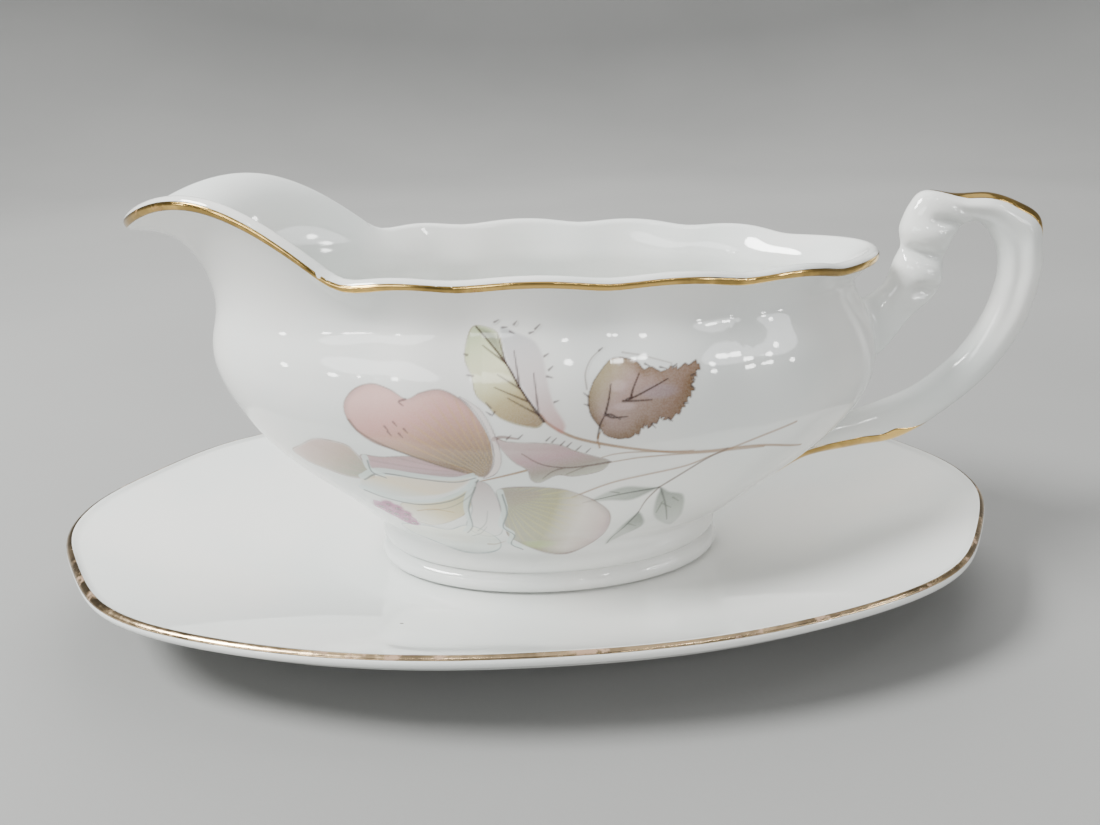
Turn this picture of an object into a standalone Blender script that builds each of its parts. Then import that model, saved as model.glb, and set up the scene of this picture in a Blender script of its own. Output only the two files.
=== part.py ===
"""Gravy boat standing on its own oval underplate, in glazed porcelain.

The pieces are the underplate, the bowl with its spout, the oval foot under the bowl and the
scroll handle. The bowl, foot and handle are one rigid boat, which lifts off the underplate.

Frame: the handle points to +X, the spout to -X, +Z is up, and the origin is on the table under
the middle of the whole object. Every length below is in millimetres; MM turns it into metres.
"""
import bmesh
import bpy
import numpy as np
from math import pi, radians

MM = 0.001
GAP = 0.3                       # clearance kept between two pieces that touch

# ---------------------------------------------------------------- underplate
PLATE_X = -6.0                  # middle of the underplate
PLATE_HALF = (117.0, 76.8)      # half the length and half the width at the rim
PLATE_RIM_Z = 21.0
PLATE_EDGE = 3.0                # thickness of the rounded rim
PLATE_LOBES = 8                 # soft corners round the rim
PLATE_LOBE_DEPTH = 3.3          # how far they stand out along the underplate's length
PLATE_SQUARENESS = 2.2          # exponent of the rim's superellipse; 2 is a plain ellipse
WELL_HALF = (52.0, 36.0)        # the flat oval that the boat stands on
WELL_Z = 7.1
PLATE_RISE_POWER = 1.35         # how the top climbs from the well to the rim; 1 is a cone
PLATE_TOP_SHARES = (0.12, 0.3, 0.5, 0.7, 0.87)   # rings on top, from the well (0) to the rim (1)
PLATE_UNDER_SHARES = (0.8, 0.55, 0.32)           # rings underneath, from the rim inwards
PLATE_THICKENING = 0.8          # how much thicker the underplate is at the well than at the rim
PLATE_FOOT_HALF = (61.0, 43.0)  # outside of the ring that the underplate stands on
PLATE_FOOT_WIDTH = 5.0
PLATE_FOOT_HEIGHT = 3.4
PLATE_FOOT_ROUNDING = 0.6       # on the edges of the ring's standing face
PLATE_FOOT_TAPER = (1.0, 1.5)   # how much wider the ring is at its root, outside and inside
PLATE_SEGMENTS = 84

# ---------------------------------------------------------------- bowl
BOAT_X = -1.4                   # middle of the boat's foot
WALL = 3.4
# Outer skin: height, reach to the left, reach to the right and half-width of its oval.
BODY_STATIONS = (
    (19.3, -47.4, 47.4, 28.2),  # bottom, on the foot
    (27.0, -53.6, 55.8, 35.7),
    (39.0, -67.9, 71.0, 42.0),
    (52.0, -77.6, 80.1, 46.4),
    (64.0, -81.9, 79.1, 46.0),  # belly
    (75.5, -79.3, 73.2, 40.6),  # neck under the rim
)
RIM_RIGHT = 79.2                # the rim's end beside the handle
RIM_LEFT_REACH = 91.8           # left half-length of the oval that the side rim follows
RIM_HALF_WIDTH = 42.0
RIM_TOP_Z = 86.0                # top of the rim where the spout starts
RIM_END_DROP = 3.4              # how much lower the rim is at the handle's end
LOBE_EDGES = tuple(radians(a) for a in (35.4, 59.1, 81.2, 102.3, 117.5))
LOBE_RISE = 1.2                 # how far a lobe's crest stands above its edges
LOBE_BULGE = 1.2                # how far it swells outwards at the rim
LOBE_FADE_POWER = 1.5           # how fast the swelling fades down the body
SPOUT_TIP_X = -97.9
SPOUT_TIP_Z = 96.9
SPOUT_PEAK_Z = 103.6
SPOUT_SHOULDER = (-62.8, 34.5)  # control points of the spout's plan curve
SPOUT_FRONT_Y = 24.1
SPOUT_CLIMB_POWER = 1.15        # how late the rim climbs to the spout's peak
FLARE_END = radians(82.0)       # how far the curve under the rim turns outwards
FLARE_POWER = 2.3               # how soon it turns outwards; a low power keeps the wall upright
SPOUT_FLARE_POWER = 0.4
SOFTENING = radians(4.0)        # rounds the lobes' edges and the spout's corners
BOWL_SIDE_STEPS = (6, 5, 5, 5, 4)    # segments from the handle's end to each lobe edge
BOWL_SPOUT_STEPS = 13
BOWL_FLOOR_RISE = 0.6           # how much higher the floor's edge is than its middle, inside
BOWL_LEVELS = 7
FLARE_LEVELS = 6
ROLL_LEVELS = 5

# ---------------------------------------------------------------- foot
FOOT_RINGS = (                  # half-length, half-width, height, round the foot's section
    (42.0, 27.6, 19.0),
    (42.6, 28.2, 17.4),
    (43.4, 29.0, 15.2),         # the band under the bowl
    (43.0, 28.6, 13.4),
    (41.9, 27.5, 12.2),         # the groove above the bead
    (43.1, 28.7, 11.4),
    (44.0, 29.6, 10.2),         # the bead
    (43.9, 29.5, 8.9),
    (43.2, 28.8, 7.8),
    (42.3, 27.9, 7.4),          # the face that stands on the underplate
    (39.5, 25.2, 7.4),
    (38.0, 23.8, 9.2),
    (37.0, 22.8, 19.0),
)
FOOT_SEGMENTS = 72

# ---------------------------------------------------------------- handle
# Stations along the handle: outer edge x and z, inner edge x and z, half the width across.
HANDLE_STATIONS = (
    (71.0, 63.0, 71.0, 49.0, 4.6),    # inside the bowl's wall, trimmed off
    (80.2, 70.6, 82.2, 54.5, 4.8),
    (84.0, 73.8, 91.0, 65.0, 4.4),
    (86.1, 79.0, 97.3, 71.3, 4.9),    # lower knuckle
    (87.2, 83.1, 97.9, 78.4, 4.3),
    (86.9, 87.6, 99.3, 83.8, 4.9),    # upper knuckle
    (88.6, 92.6, 101.4, 87.0, 4.4),
    (92.0, 96.0, 103.3, 88.0, 4.3),   # thumb rest
    (100.0, 95.1, 105.3, 88.2, 4.3),
    (108.2, 95.0, 108.3, 86.6, 4.4),
    (115.4, 92.6, 110.9, 83.0, 4.5),
    (121.1, 88.9, 112.2, 79.6, 4.5),  # corner of the scroll
    (122.6, 82.4, 112.7, 76.4, 4.5),
    (123.0, 74.6, 112.5, 72.6, 4.5),
    (120.4, 62.4, 110.4, 65.0, 4.5),
    (113.0, 50.0, 104.6, 55.2, 4.4),
    (102.0, 39.9, 95.6, 47.3, 4.3),
    (90.2, 32.9, 86.2, 42.9, 4.3),
    (78.6, 31.0, 76.6, 39.8, 4.3),
    (66.0, 28.6, 64.0, 37.0, 4.0),
    (56.0, 23.0, 55.0, 31.0, 3.2),
    (46.0, 20.6, 45.0, 26.0, 2.4),    # inside the bowl's wall, trimmed off
)
HANDLE_STEPS = 2                # rings for each stretch between two stations
HANDLE_SIDES = 16

PORCELAIN = (0.80, 0.79, 0.76)
FOOT_PORCELAIN = (0.74, 0.75, 0.72)
GLAZE_ROUGHNESS = 0.12
CREASE_ANGLE = radians(40.0)    # sharper edges than this are shaded as edges


# ---------------------------------------------------------------- curves
def smooth_curve(at, knots, values):
    """Value at each place of `at` on the smooth curve through (knots, values)."""
    knots = np.asarray(knots, float)
    values = np.asarray(values, float)
    at = np.asarray(at, float)
    slopes = np.gradient(values, knots, axis=0)
    k = np.clip(np.searchsorted(knots, at, side="right") - 1, 0, len(knots) - 2)
    span = knots[k + 1] - knots[k]
    p = (at - knots[k]) / span
    if values.ndim == 2:
        span = span[..., None]
        p = p[..., None]
    return ((2 * p**3 - 3 * p**2 + 1) * values[k] + (p**3 - 2 * p**2 + p) * span * slopes[k]
            + (3 * p**2 - 2 * p**3) * values[k + 1] + (p**3 - p**2) * span * slopes[k + 1])


def oval(t, left, right, half_width):
    """Points of an egg-shaped oval round BOAT_X; left is negative."""
    reach = np.where(np.cos(t) > 0, right - BOAT_X, BOAT_X - left)
    return BOAT_X + reach * np.cos(t), half_width * np.sin(t)


def softened(curve, t):
    """Running average of a curve over a few degrees, which rounds its corners."""
    weights = (1, 2, 3, 2, 1)
    shifts = np.linspace(-SOFTENING, SOFTENING, len(weights))
    return sum(w * curve(t + shift) for w, shift in zip(weights, shifts)) / sum(weights)


def sharp_lobe(t):
    """0 at a lobe's edges and 1 at its crest, and 0 along the spout."""
    turn = np.abs((t + pi) % (2 * pi) - pi)
    edges = (-LOBE_EDGES[0],) + LOBE_EDGES
    height = np.zeros_like(turn)
    for start, end in zip(edges[:-1], edges[1:]):
        inside = (turn >= start) & (turn < end)
        arch = np.sin(pi * (turn - start) / (end - start))
        height = np.where(inside, arch, height)
    return height


def lobe(t):
    return softened(sharp_lobe, t)


def rim(t):
    return softened(sharp_rim, t)


def sharp_rim(t):
    """The rim's highest line: x, y and z for each angle."""
    turn = np.abs((t + pi) % (2 * pi) - pi)
    side = np.where(np.sin(t) < 0, -1.0, 1.0)
    corner = LOBE_EDGES[-1]
    x, y = oval(turn, BOAT_X - RIM_LEFT_REACH, RIM_RIGHT, RIM_HALF_WIDTH)
    corner_x, corner_y = oval(np.array(corner), BOAT_X - RIM_LEFT_REACH, RIM_RIGHT, RIM_HALF_WIDTH)
    across = (x - corner_x) / (RIM_RIGHT - corner_x)
    z = RIM_TOP_Z - RIM_END_DROP * across**2 + LOBE_RISE * sharp_lobe(t)

    u = np.clip((turn - corner) / (pi - corner), 0.0, 1.0)
    weights = ((1 - u)**3, 3 * u * (1 - u)**2, 3 * u**2 * (1 - u), u**3)
    plan = ((corner_x, corner_y), SPOUT_SHOULDER, (SPOUT_TIP_X, SPOUT_FRONT_Y), (SPOUT_TIP_X, 0.0))
    spout_x = sum(w * p[0] for w, p in zip(weights, plan))
    spout_y = sum(w * p[1] for w, p in zip(weights, plan))
    climb = np.sin(pi * np.minimum(u, 0.5))**SPOUT_CLIMB_POWER
    fall = (1 - np.cos(2 * pi * np.maximum(u - 0.5, 0.0))) / 2
    spout_z = (RIM_TOP_Z + (SPOUT_PEAK_Z - RIM_TOP_Z) * climb
               - (SPOUT_PEAK_Z - SPOUT_TIP_Z) * fall)

    on_spout = turn > corner
    return np.stack([np.where(on_spout, spout_x, x), side * np.where(on_spout, spout_y, y),
                     np.where(on_spout, spout_z, z)], -1)


def bowl_middle(t, level):
    """Point in the middle of the bowl's wall. Level runs 0 to 1 from the bottom to the neck,
    and 1 to 2 from the neck to the middle of the rounded rim."""
    stations = np.array(BODY_STATIONS)
    bottom, neck = stations[0, 0], stations[-1, 0]
    z = bottom + (neck - bottom) * np.minimum(level, 1.0)
    left, right, half_width = smooth_curve(z, stations[:, 0], stations[:, 1:]).T
    swell = LOBE_BULGE * np.clip(level, 0, 1)**LOBE_FADE_POWER * lobe(t) - WALL / 2
    x, y = oval(t, left, right, half_width)
    reach = np.where(np.cos(t) > 0, right - BOAT_X, BOAT_X - left)
    normal = np.stack([np.cos(t) / reach, np.sin(t) / half_width], -1)
    normal /= np.linalg.norm(normal, axis=-1, keepdims=True)
    body = np.stack([x + swell * normal[..., 0], y + swell * normal[..., 1],
                     z + WALL / 2 * (1 - np.minimum(level, 1.0))], -1)

    edge = rim(t)
    step = 1e-3
    along = rim(t + step) - rim(t - step)
    out = np.stack([along[..., 1], -along[..., 0]], -1)
    out /= np.linalg.norm(out, axis=-1, keepdims=True)
    edge[..., :2] += (LOBE_BULGE * lobe(t) - WALL / 2)[..., None] * out
    edge[..., 2] -= WALL / 2

    turn = np.abs((t + pi) % (2 * pi) - pi)
    spout = np.clip((turn - LOBE_EDGES[-1]) / (pi - LOBE_EDGES[-1]), 0.0, 1.0)
    power = FLARE_POWER + (SPOUT_FLARE_POWER - FLARE_POWER) * spout**2 * (3 - 2 * spout)
    theta = FLARE_END * np.clip(level - 1, 0, 1)
    outward = (1 - np.cos(theta)**power) / (1 - np.cos(FLARE_END)**power)
    upward = np.sin(theta) / np.sin(FLARE_END)
    blend = np.stack([outward, outward, upward], -1)
    return body + (edge - body) * blend


def bowl_frame(t, level):
    """Wall middle, outward normal and upward tangent at one level, for every angle."""
    step = 1e-3
    levels = np.full_like(t, level)
    low = np.maximum(levels - step, 0.0)
    high = np.minimum(levels + step, 2.0)
    around = bowl_middle(t + step, levels) - bowl_middle(t - step, levels)
    up = bowl_middle(t, high) - bowl_middle(t, low)
    normal = np.cross(around, up)
    normal /= np.linalg.norm(normal, axis=-1, keepdims=True)
    up /= np.linalg.norm(up, axis=-1, keepdims=True)
    return bowl_middle(t, levels), normal, up


def bowl_angles():
    """Angles round the bowl, with a vertex on each lobe's edge."""
    half = [0.0]
    edges = (0.0,) + LOBE_EDGES
    for start, end, steps in zip(edges[:-1], edges[1:], BOWL_SIDE_STEPS):
        half += list(np.linspace(start, end, steps + 1)[1:])
    half += list(np.linspace(LOBE_EDGES[-1], pi, BOWL_SPOUT_STEPS + 1)[1:])
    return np.array(half + [2 * pi - a for a in half[-2:0:-1]])


# ---------------------------------------------------------------- meshes
def ring_mesh(name, rings, colour, closed=False, caps=()):
    """One object from rings of points, each joined to the next. `closed` joins the last ring
    to the first; `caps` gives the points that close the first and the last ring."""
    mesh = bmesh.new()
    rows = [[mesh.verts.new(p * MM) for p in ring] for ring in rings]
    pairs = list(zip(rows[:-1], rows[1:])) + ([(rows[-1], rows[0])] if closed else [])
    for low, high in pairs:
        for i in range(len(low)):
            j = (i + 1) % len(low)
            mesh.faces.new((low[i], low[j], high[j], high[i]))
    for point, row in zip(caps, (rows[0], rows[-1])):
        tip = mesh.verts.new(np.asarray(point) * MM)
        for i in range(len(row)):
            mesh.faces.new((tip, row[i], row[(i + 1) % len(row)]))
    bmesh.ops.recalc_face_normals(mesh, faces=mesh.faces)
    bmesh.ops.triangulate(mesh, faces=mesh.faces)
    data = bpy.data.meshes.new(name)
    mesh.to_mesh(data)
    mesh.free()
    data.shade_smooth()
    data.set_sharp_from_angle(angle=CREASE_ANGLE)
    item = bpy.data.objects.new(name, data)
    bpy.context.scene.collection.objects.link(item)
    if colour is not None:
        item.data.materials.append(porcelain(name, colour))
    return item


def porcelain(name, colour):
    material = bpy.data.materials.new(name + "_glaze")
    material.use_nodes = True
    shader = material.node_tree.nodes["Principled BSDF"]
    shader.inputs["Base Color"].default_value = (*colour, 1.0)
    shader.inputs["Roughness"].default_value = GLAZE_ROUGHNESS
    shader.inputs["Metallic"].default_value = 0.0
    return material


def oval_ring(t, centre_x, half, z, squareness=2.0, lobes=0.0):
    """Ring on a superellipse of half-lengths `half`, with corners that stand `lobes` proud."""
    crest = (1 + np.cos(PLATE_LOBES * t)) / 2
    power = 2 / squareness
    x = centre_x + (half[0] + lobes * crest) * np.sign(np.cos(t)) * np.abs(np.cos(t))**power
    y = half[1] * np.sign(np.sin(t)) * np.abs(np.sin(t))**power
    return np.stack([x, y, np.full_like(t, z)], -1)


def build_underplate():
    t = np.linspace(0, 2 * pi, PLATE_SEGMENTS, endpoint=False)

    def at(share, z, inset=0.0):
        """Ring at a share of the way from the well (0) to the rim (1)."""
        rim_half = (PLATE_HALF[0] - PLATE_LOBE_DEPTH, PLATE_HALF[1])
        half = [w + share * (r - w) - inset for w, r in zip(WELL_HALF, rim_half)]
        squareness = 2.0 + (PLATE_SQUARENESS - 2.0) * max(share, 0.0)
        return oval_ring(t, PLATE_X, half, z, squareness, PLATE_LOBE_DEPTH * max(share, 0.0)**2)

    def top_z(share):
        return WELL_Z + (PLATE_RIM_Z - WELL_Z) * share**PLATE_RISE_POWER

    def under_z(share):
        return top_z(share) - PLATE_EDGE - PLATE_THICKENING * (1 - share)

    def foot_ring(grow, z):
        return oval_ring(t, PLATE_X, [half + grow for half in PLATE_FOOT_HALF], z)

    half_edge = PLATE_EDGE / 2
    rings = [at(0.0, WELL_Z)]
    rings += [at(share, top_z(share)) for share in PLATE_TOP_SHARES]
    for turn in np.linspace(pi / 2, -pi / 2, ROLL_LEVELS):
        inset = half_edge * (1 - np.cos(turn))
        rings.append(at(1.0, PLATE_RIM_Z - half_edge + half_edge * np.sin(turn), inset))
    rings += [at(share, under_z(share)) for share in PLATE_UNDER_SHARES]
    rounding = PLATE_FOOT_ROUNDING
    root_share = (PLATE_FOOT_HALF[0] - WELL_HALF[0]) / (PLATE_HALF[0] - WELL_HALF[0])
    rings += [
        foot_ring(PLATE_FOOT_TAPER[0], under_z(root_share)),
        foot_ring(0.0, rounding),
        foot_ring(-rounding, 0.0),
        foot_ring(rounding - PLATE_FOOT_WIDTH, 0.0),
        foot_ring(-PLATE_FOOT_WIDTH, rounding),
        foot_ring(-PLATE_FOOT_WIDTH - PLATE_FOOT_TAPER[1], PLATE_FOOT_HEIGHT),
    ]
    caps = ((PLATE_X, 0.0, WELL_Z), (PLATE_X, 0.0, PLATE_FOOT_HEIGHT))
    return ring_mesh("underplate", rings, PORCELAIN, caps=caps)


def bowl_rings(outer_only=False, grow=0.0):
    """Rings of the bowl from the bottom's middle outside, over the rim and down inside."""
    t = bowl_angles()
    half_wall = WALL / 2
    flare = 1 + np.sin(np.linspace(0, pi / 2, FLARE_LEVELS + 1)[1:])
    levels = list(np.linspace(0, 1, BOWL_LEVELS)) + list(flare)
    frames = [bowl_frame(t, level) for level in levels]
    bottom_z = BODY_STATIONS[0][0]

    def floor_ring(inset, z):
        first = frames[0][0]
        share = 1 - inset / np.hypot(first[:, 0] - BOAT_X, first[:, 1])
        return np.stack([BOAT_X + share * (first[:, 0] - BOAT_X), share * first[:, 1],
                         np.full(len(t), z)], -1)

    rings = [floor_ring(0.0, bottom_z - grow)]
    rings += [middle + (half_wall + grow) * normal for middle, normal, _ in frames[1:]]
    middle, normal, up = frames[-1]
    if outer_only:
        return rings
    for turn in np.linspace(0, pi, ROLL_LEVELS)[1:-1]:
        rings.append(middle + half_wall * (np.cos(turn) * normal + np.sin(turn) * up))
    rings += [middle - half_wall * normal for middle, normal, _ in frames[:0:-1]]
    rings += [floor_ring(WALL, bottom_z + WALL + BOWL_FLOOR_RISE)]
    return rings


def build_bowl():
    bottom_z = BODY_STATIONS[0][0]
    caps = ((BOAT_X, 0.0, bottom_z), (BOAT_X, 0.0, bottom_z + WALL))
    return ring_mesh("boat_bowl", bowl_rings(), PORCELAIN, caps=caps)


def build_foot():
    t = np.linspace(0, 2 * pi, FOOT_SEGMENTS, endpoint=False)
    rings = [oval_ring(t, BOAT_X, ring[:2], ring[2]) for ring in FOOT_RINGS]
    return ring_mesh("boat_foot", rings, FOOT_PORCELAIN, closed=True)


def build_handle():
    stations = np.array(HANDLE_STATIONS)
    knots = np.arange(len(stations), dtype=float)
    places = np.linspace(0, knots[-1], HANDLE_STEPS * (len(stations) - 1) + 1)
    curve = smooth_curve(places, knots, stations)
    turn = (np.arange(HANDLE_SIDES) + 0.5) * 2 * pi / HANDLE_SIDES
    rings = []
    for outer_x, outer_z, inner_x, inner_z, half_width in curve:
        middle = np.array([(outer_x + inner_x) / 2, 0.0, (outer_z + inner_z) / 2])
        across = np.array([(outer_x - inner_x) / 2, 0.0, (outer_z - inner_z) / 2])
        side = np.array([0.0, half_width, 0.0])
        rings.append(middle + np.outer(np.cos(turn), across) + np.outer(np.sin(turn), side))
    handle = ring_mesh("boat_handle", rings, PORCELAIN, caps=(rings[0].mean(0), rings[-1].mean(0)))

    # The bowl's outside, grown by the gap, trims both ends of the handle to the bowl.
    envelope = bowl_rings(outer_only=True, grow=GAP)
    top = envelope[-1].mean(0)
    bottom = (BOAT_X, 0.0, BODY_STATIONS[0][0] - GAP)
    cutter = ring_mesh("bowl_envelope", envelope, None, caps=(bottom, top))
    cutter.hide_render = True
    cutter.display_type = "WIRE"
    trim = handle.modifiers.new("trim_to_bowl", "BOOLEAN")
    trim.operation = "DIFFERENCE"
    trim.object = cutter
    return handle


def main():
    for item in list(bpy.data.objects):
        bpy.data.objects.remove(item, do_unlink=True)
    build_underplate()
    boat = bpy.data.objects.new("boat", None)
    bpy.context.scene.collection.objects.link(boat)
    for piece in (build_bowl(), build_foot(), build_handle()):
        piece.parent = boat


main()
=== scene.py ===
"""Looks of the gravy boat on its underplate: glazed porcelain, gilded edges and a printed spray
of roses on each side of the boat. Lengths are in millimetres until MM turns them into metres.
The boat's own x runs from the middle of its foot, and every height is above the table."""
from math import cos, pi, radians, sin

import bpy
import numpy as np
from mathutils import Matrix, Vector
from mathutils.bvhtree import BVHTree


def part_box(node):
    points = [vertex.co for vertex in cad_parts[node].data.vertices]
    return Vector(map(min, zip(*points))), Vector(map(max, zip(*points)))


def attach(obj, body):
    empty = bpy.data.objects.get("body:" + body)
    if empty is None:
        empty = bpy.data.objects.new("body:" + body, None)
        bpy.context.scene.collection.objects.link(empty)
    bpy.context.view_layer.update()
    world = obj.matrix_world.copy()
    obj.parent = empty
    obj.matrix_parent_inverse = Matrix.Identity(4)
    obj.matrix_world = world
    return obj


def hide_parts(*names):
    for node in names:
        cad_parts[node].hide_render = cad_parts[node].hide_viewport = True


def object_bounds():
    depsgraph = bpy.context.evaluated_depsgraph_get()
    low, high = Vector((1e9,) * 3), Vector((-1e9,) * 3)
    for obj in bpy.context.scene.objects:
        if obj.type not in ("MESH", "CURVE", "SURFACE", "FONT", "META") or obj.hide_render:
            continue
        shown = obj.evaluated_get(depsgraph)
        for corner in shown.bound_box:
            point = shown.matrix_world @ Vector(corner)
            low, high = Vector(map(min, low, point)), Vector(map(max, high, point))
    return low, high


MM = 0.001
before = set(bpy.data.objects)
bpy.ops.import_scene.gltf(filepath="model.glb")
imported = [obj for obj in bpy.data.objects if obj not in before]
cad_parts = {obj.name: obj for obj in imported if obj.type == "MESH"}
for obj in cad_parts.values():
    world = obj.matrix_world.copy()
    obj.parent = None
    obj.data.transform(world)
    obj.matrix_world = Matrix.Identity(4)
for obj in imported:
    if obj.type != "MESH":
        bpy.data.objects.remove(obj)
CAD_LOW, CAD_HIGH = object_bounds()


def cad_box(node):
    low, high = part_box(node)
    return np.array(low) / MM, np.array(high) / MM


PLATE_LOW, PLATE_HIGH = cad_box("underplate")
FOOT_LOW, FOOT_HIGH = cad_box("boat_foot")
BOAT_X = (FOOT_LOW[0] + FOOT_HIGH[0]) / 2
BOWL_BOTTOM = cad_box("boat_bowl")[0][2]

# ---------------------------------------------------------------- sizes of the boat
WALL = 3.4
# Outer skin: height, reach to the left, reach to the right and half-width of its oval.
BODY_STATIONS = (
    (19.3, 46.0, 48.8, 28.2),
    (27.0, 52.2, 57.2, 35.7),
    (39.0, 66.5, 72.4, 42.0),
    (52.0, 76.2, 81.5, 46.4),
    (64.0, 80.5, 80.5, 46.0),
    (75.5, 77.9, 74.6, 40.6),
)
# Skirt under the bowl, down to the groove in the foot: half-length, half-width, height.
SKIRT_STATIONS = (
    (41.4, 27.0, 11.9),
    (42.3, 27.9, 12.5),
    (43.2, 28.8, 13.5),
    (43.5, 29.1, 15.0),
    (43.1, 28.7, 16.6),
    (42.6, 28.2, 18.0),
)
# Foot: the bead from the groove down, its flat underside, then the wall inside it.
FOOT_STATIONS = (
    (41.6, 27.2, 12.8),
    (41.9, 27.5, 12.3),
    (42.9, 28.5, 11.7),
    (43.7, 29.3, 10.9),
    (44.0, 29.6, 10.0),
    (44.0, 29.6, 9.0),
    (43.6, 29.2, 8.1),
    (42.9, 28.5, 7.6),
    (42.3, 27.9, 7.4),
    (39.5, 25.2, 7.4),
    (38.6, 24.4, 7.9),
    (38.0, 23.8, 9.2),
    (37.0, 22.8, 18.9),
)
RIM_RIGHT = 80.6
RIM_LEFT = 91.8
RIM_HALF_WIDTH = 42.0
RIM_TOP_Z = 86.0
RIM_END_DROP = 3.4
LOBE_EDGES = tuple(radians(a) for a in (35.4, 59.1, 81.2, 102.3, 117.5))
LOBE_RISE = 1.45
LOBE_BULGE = 1.45
SPOUT_TIP_X = -96.5
SPOUT_TIP_Z = 96.9
SPOUT_PEAK_Z = 103.6
SPOUT_SHOULDER = (-61.4, 34.5)
SPOUT_FRONT_Y = 24.1
FLARE_END = radians(82.0)
FLARE_POWER = 2.3
SPOUT_FLARE_POWER = 0.4
SOFTENING = radians(4.0)
NECK_ROUNDING = 2.6
SPOUT_CLIMB_POWER = 1.15
LOBE_FADE_POWER = 1.1               # how the lobes fade down the bowl
SLOPE_STEP = 1e-3                   # step in angle or level that slopes are taken over

# Stations along the handle: outer edge x and z, inner edge x and z, half the width across.
HANDLE_STATIONS = (
    (72.4, 63.0, 72.4, 49.0, 4.6),
    (81.6, 70.6, 83.6, 54.5, 4.8),
    (85.4, 73.8, 92.4, 65.0, 4.4),
    (87.5, 79.0, 98.7, 71.3, 4.9),
    (88.6, 83.1, 99.3, 78.4, 4.3),
    (88.3, 87.6, 100.7, 83.8, 4.9),
    (90.0, 92.6, 102.8, 87.0, 4.4),
    (93.4, 96.0, 104.7, 88.0, 4.3),
    (101.4, 95.1, 106.7, 88.2, 4.3),
    (109.6, 95.0, 109.7, 86.6, 4.4),
    (116.8, 92.6, 112.3, 83.0, 4.5),
    (122.5, 88.9, 113.6, 79.6, 4.5),
    (124.0, 82.4, 114.1, 76.4, 4.5),
    (124.4, 74.6, 113.9, 72.6, 4.5),
    (121.8, 62.4, 111.8, 65.0, 4.5),
    (114.4, 50.0, 106.0, 55.2, 4.4),
    (103.4, 39.9, 97.0, 47.3, 4.3),
    (91.6, 32.9, 87.6, 42.9, 4.3),
    (80.0, 31.0, 78.0, 39.8, 4.3),
    (67.4, 28.6, 65.4, 37.0, 4.0),
    (57.4, 23.0, 56.4, 31.0, 3.2),
    (47.4, 20.6, 46.4, 26.0, 2.4),
)

# ---------------------------------------------------------------- sizes of the underplate
PLATE_X = (PLATE_LOW[0] + PLATE_HIGH[0]) / 2
PLATE_HALF = (PLATE_HIGH - PLATE_LOW)[:2] / 2
PLATE_RIM_Z = PLATE_HIGH[2]
PLATE_EDGE = 3.0
PLATE_LOBES = 8
PLATE_LOBE_DEPTH = 3.3
PLATE_SQUARENESS = 2.2
WELL_HALF = (52.0, 36.0)
WELL_Z = 7.1
PLATE_RISE_POWER = 1.35
PLATE_THICKENING = 0.8
PLATE_FOOT_HALF = (61.0, 43.0)
PLATE_FOOT_WIDTH = 5.0
PLATE_FOOT_HEIGHT = 3.4


# ---------------------------------------------------------------- curves
def smooth_curve(at, knots, values):
    """Value at each place of `at` on the smooth curve through (knots, values)."""
    knots = np.asarray(knots, float)
    values = np.asarray(values, float)
    at = np.asarray(at, float)
    slopes = np.gradient(values, knots, axis=0)
    k = np.clip(np.searchsorted(knots, at, side="right") - 1, 0, len(knots) - 2)
    span = knots[k + 1] - knots[k]
    p = (at - knots[k]) / span
    shape = p.shape + (1,) * (values.ndim - 1)
    span = span.reshape(shape)
    p = p.reshape(shape)
    return ((2 * p**3 - 3 * p**2 + 1) * values[k] + (p**3 - 2 * p**2 + p) * span * slopes[k]
            + (3 * p**2 - 2 * p**3) * values[k + 1] + (p**3 - p**2) * span * slopes[k + 1])


def unit(v):
    return v / np.maximum(np.linalg.norm(v, axis=-1, keepdims=True), 1e-12)


def smoothstep(low, high, x):
    p = np.clip((x - low) / (high - low), 0.0, 1.0)
    return p * p * (3 - 2 * p)


def window(rise_from, rise_to, fall_from, fall_to, x):
    """Climbs from 0 to 1 over the first stretch and falls back to 0 over the second."""
    return smoothstep(rise_from, rise_to, x) * (1 - smoothstep(fall_from, fall_to, x))


def wave(t, seed, waves=(3, 5, 8, 13, 21)):
    """Smooth irregular value round a closed line, about -1 to 1, the same each run."""
    draw = np.random.default_rng(seed)
    total = 0
    for n in waves:
        total = total + np.sin(n * t + draw.uniform(0, 2 * pi)) * draw.uniform(0.4, 1.0) / n**0.5
    return total * 0.6


def oval(t, left, right, half_width):
    reach = np.where(np.cos(t) > 0, right, left)
    return reach * np.cos(t), half_width * np.sin(t)


def softened(curve, t):
    weights = (1, 2, 3, 2, 1)
    shifts = np.linspace(-SOFTENING, SOFTENING, len(weights))
    return sum(w * curve(t + shift) for w, shift in zip(weights, shifts)) / sum(weights)


def sharp_lobe(t):
    turn = np.abs((t + pi) % (2 * pi) - pi)
    edges = (-LOBE_EDGES[0],) + LOBE_EDGES
    height = np.zeros_like(turn)
    for start, end in zip(edges[:-1], edges[1:]):
        inside = (turn >= start) & (turn < end)
        height = np.where(inside, np.sin(pi * (turn - start) / (end - start)), height)
    return height


def lobe(t):
    return softened(sharp_lobe, t)


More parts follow.
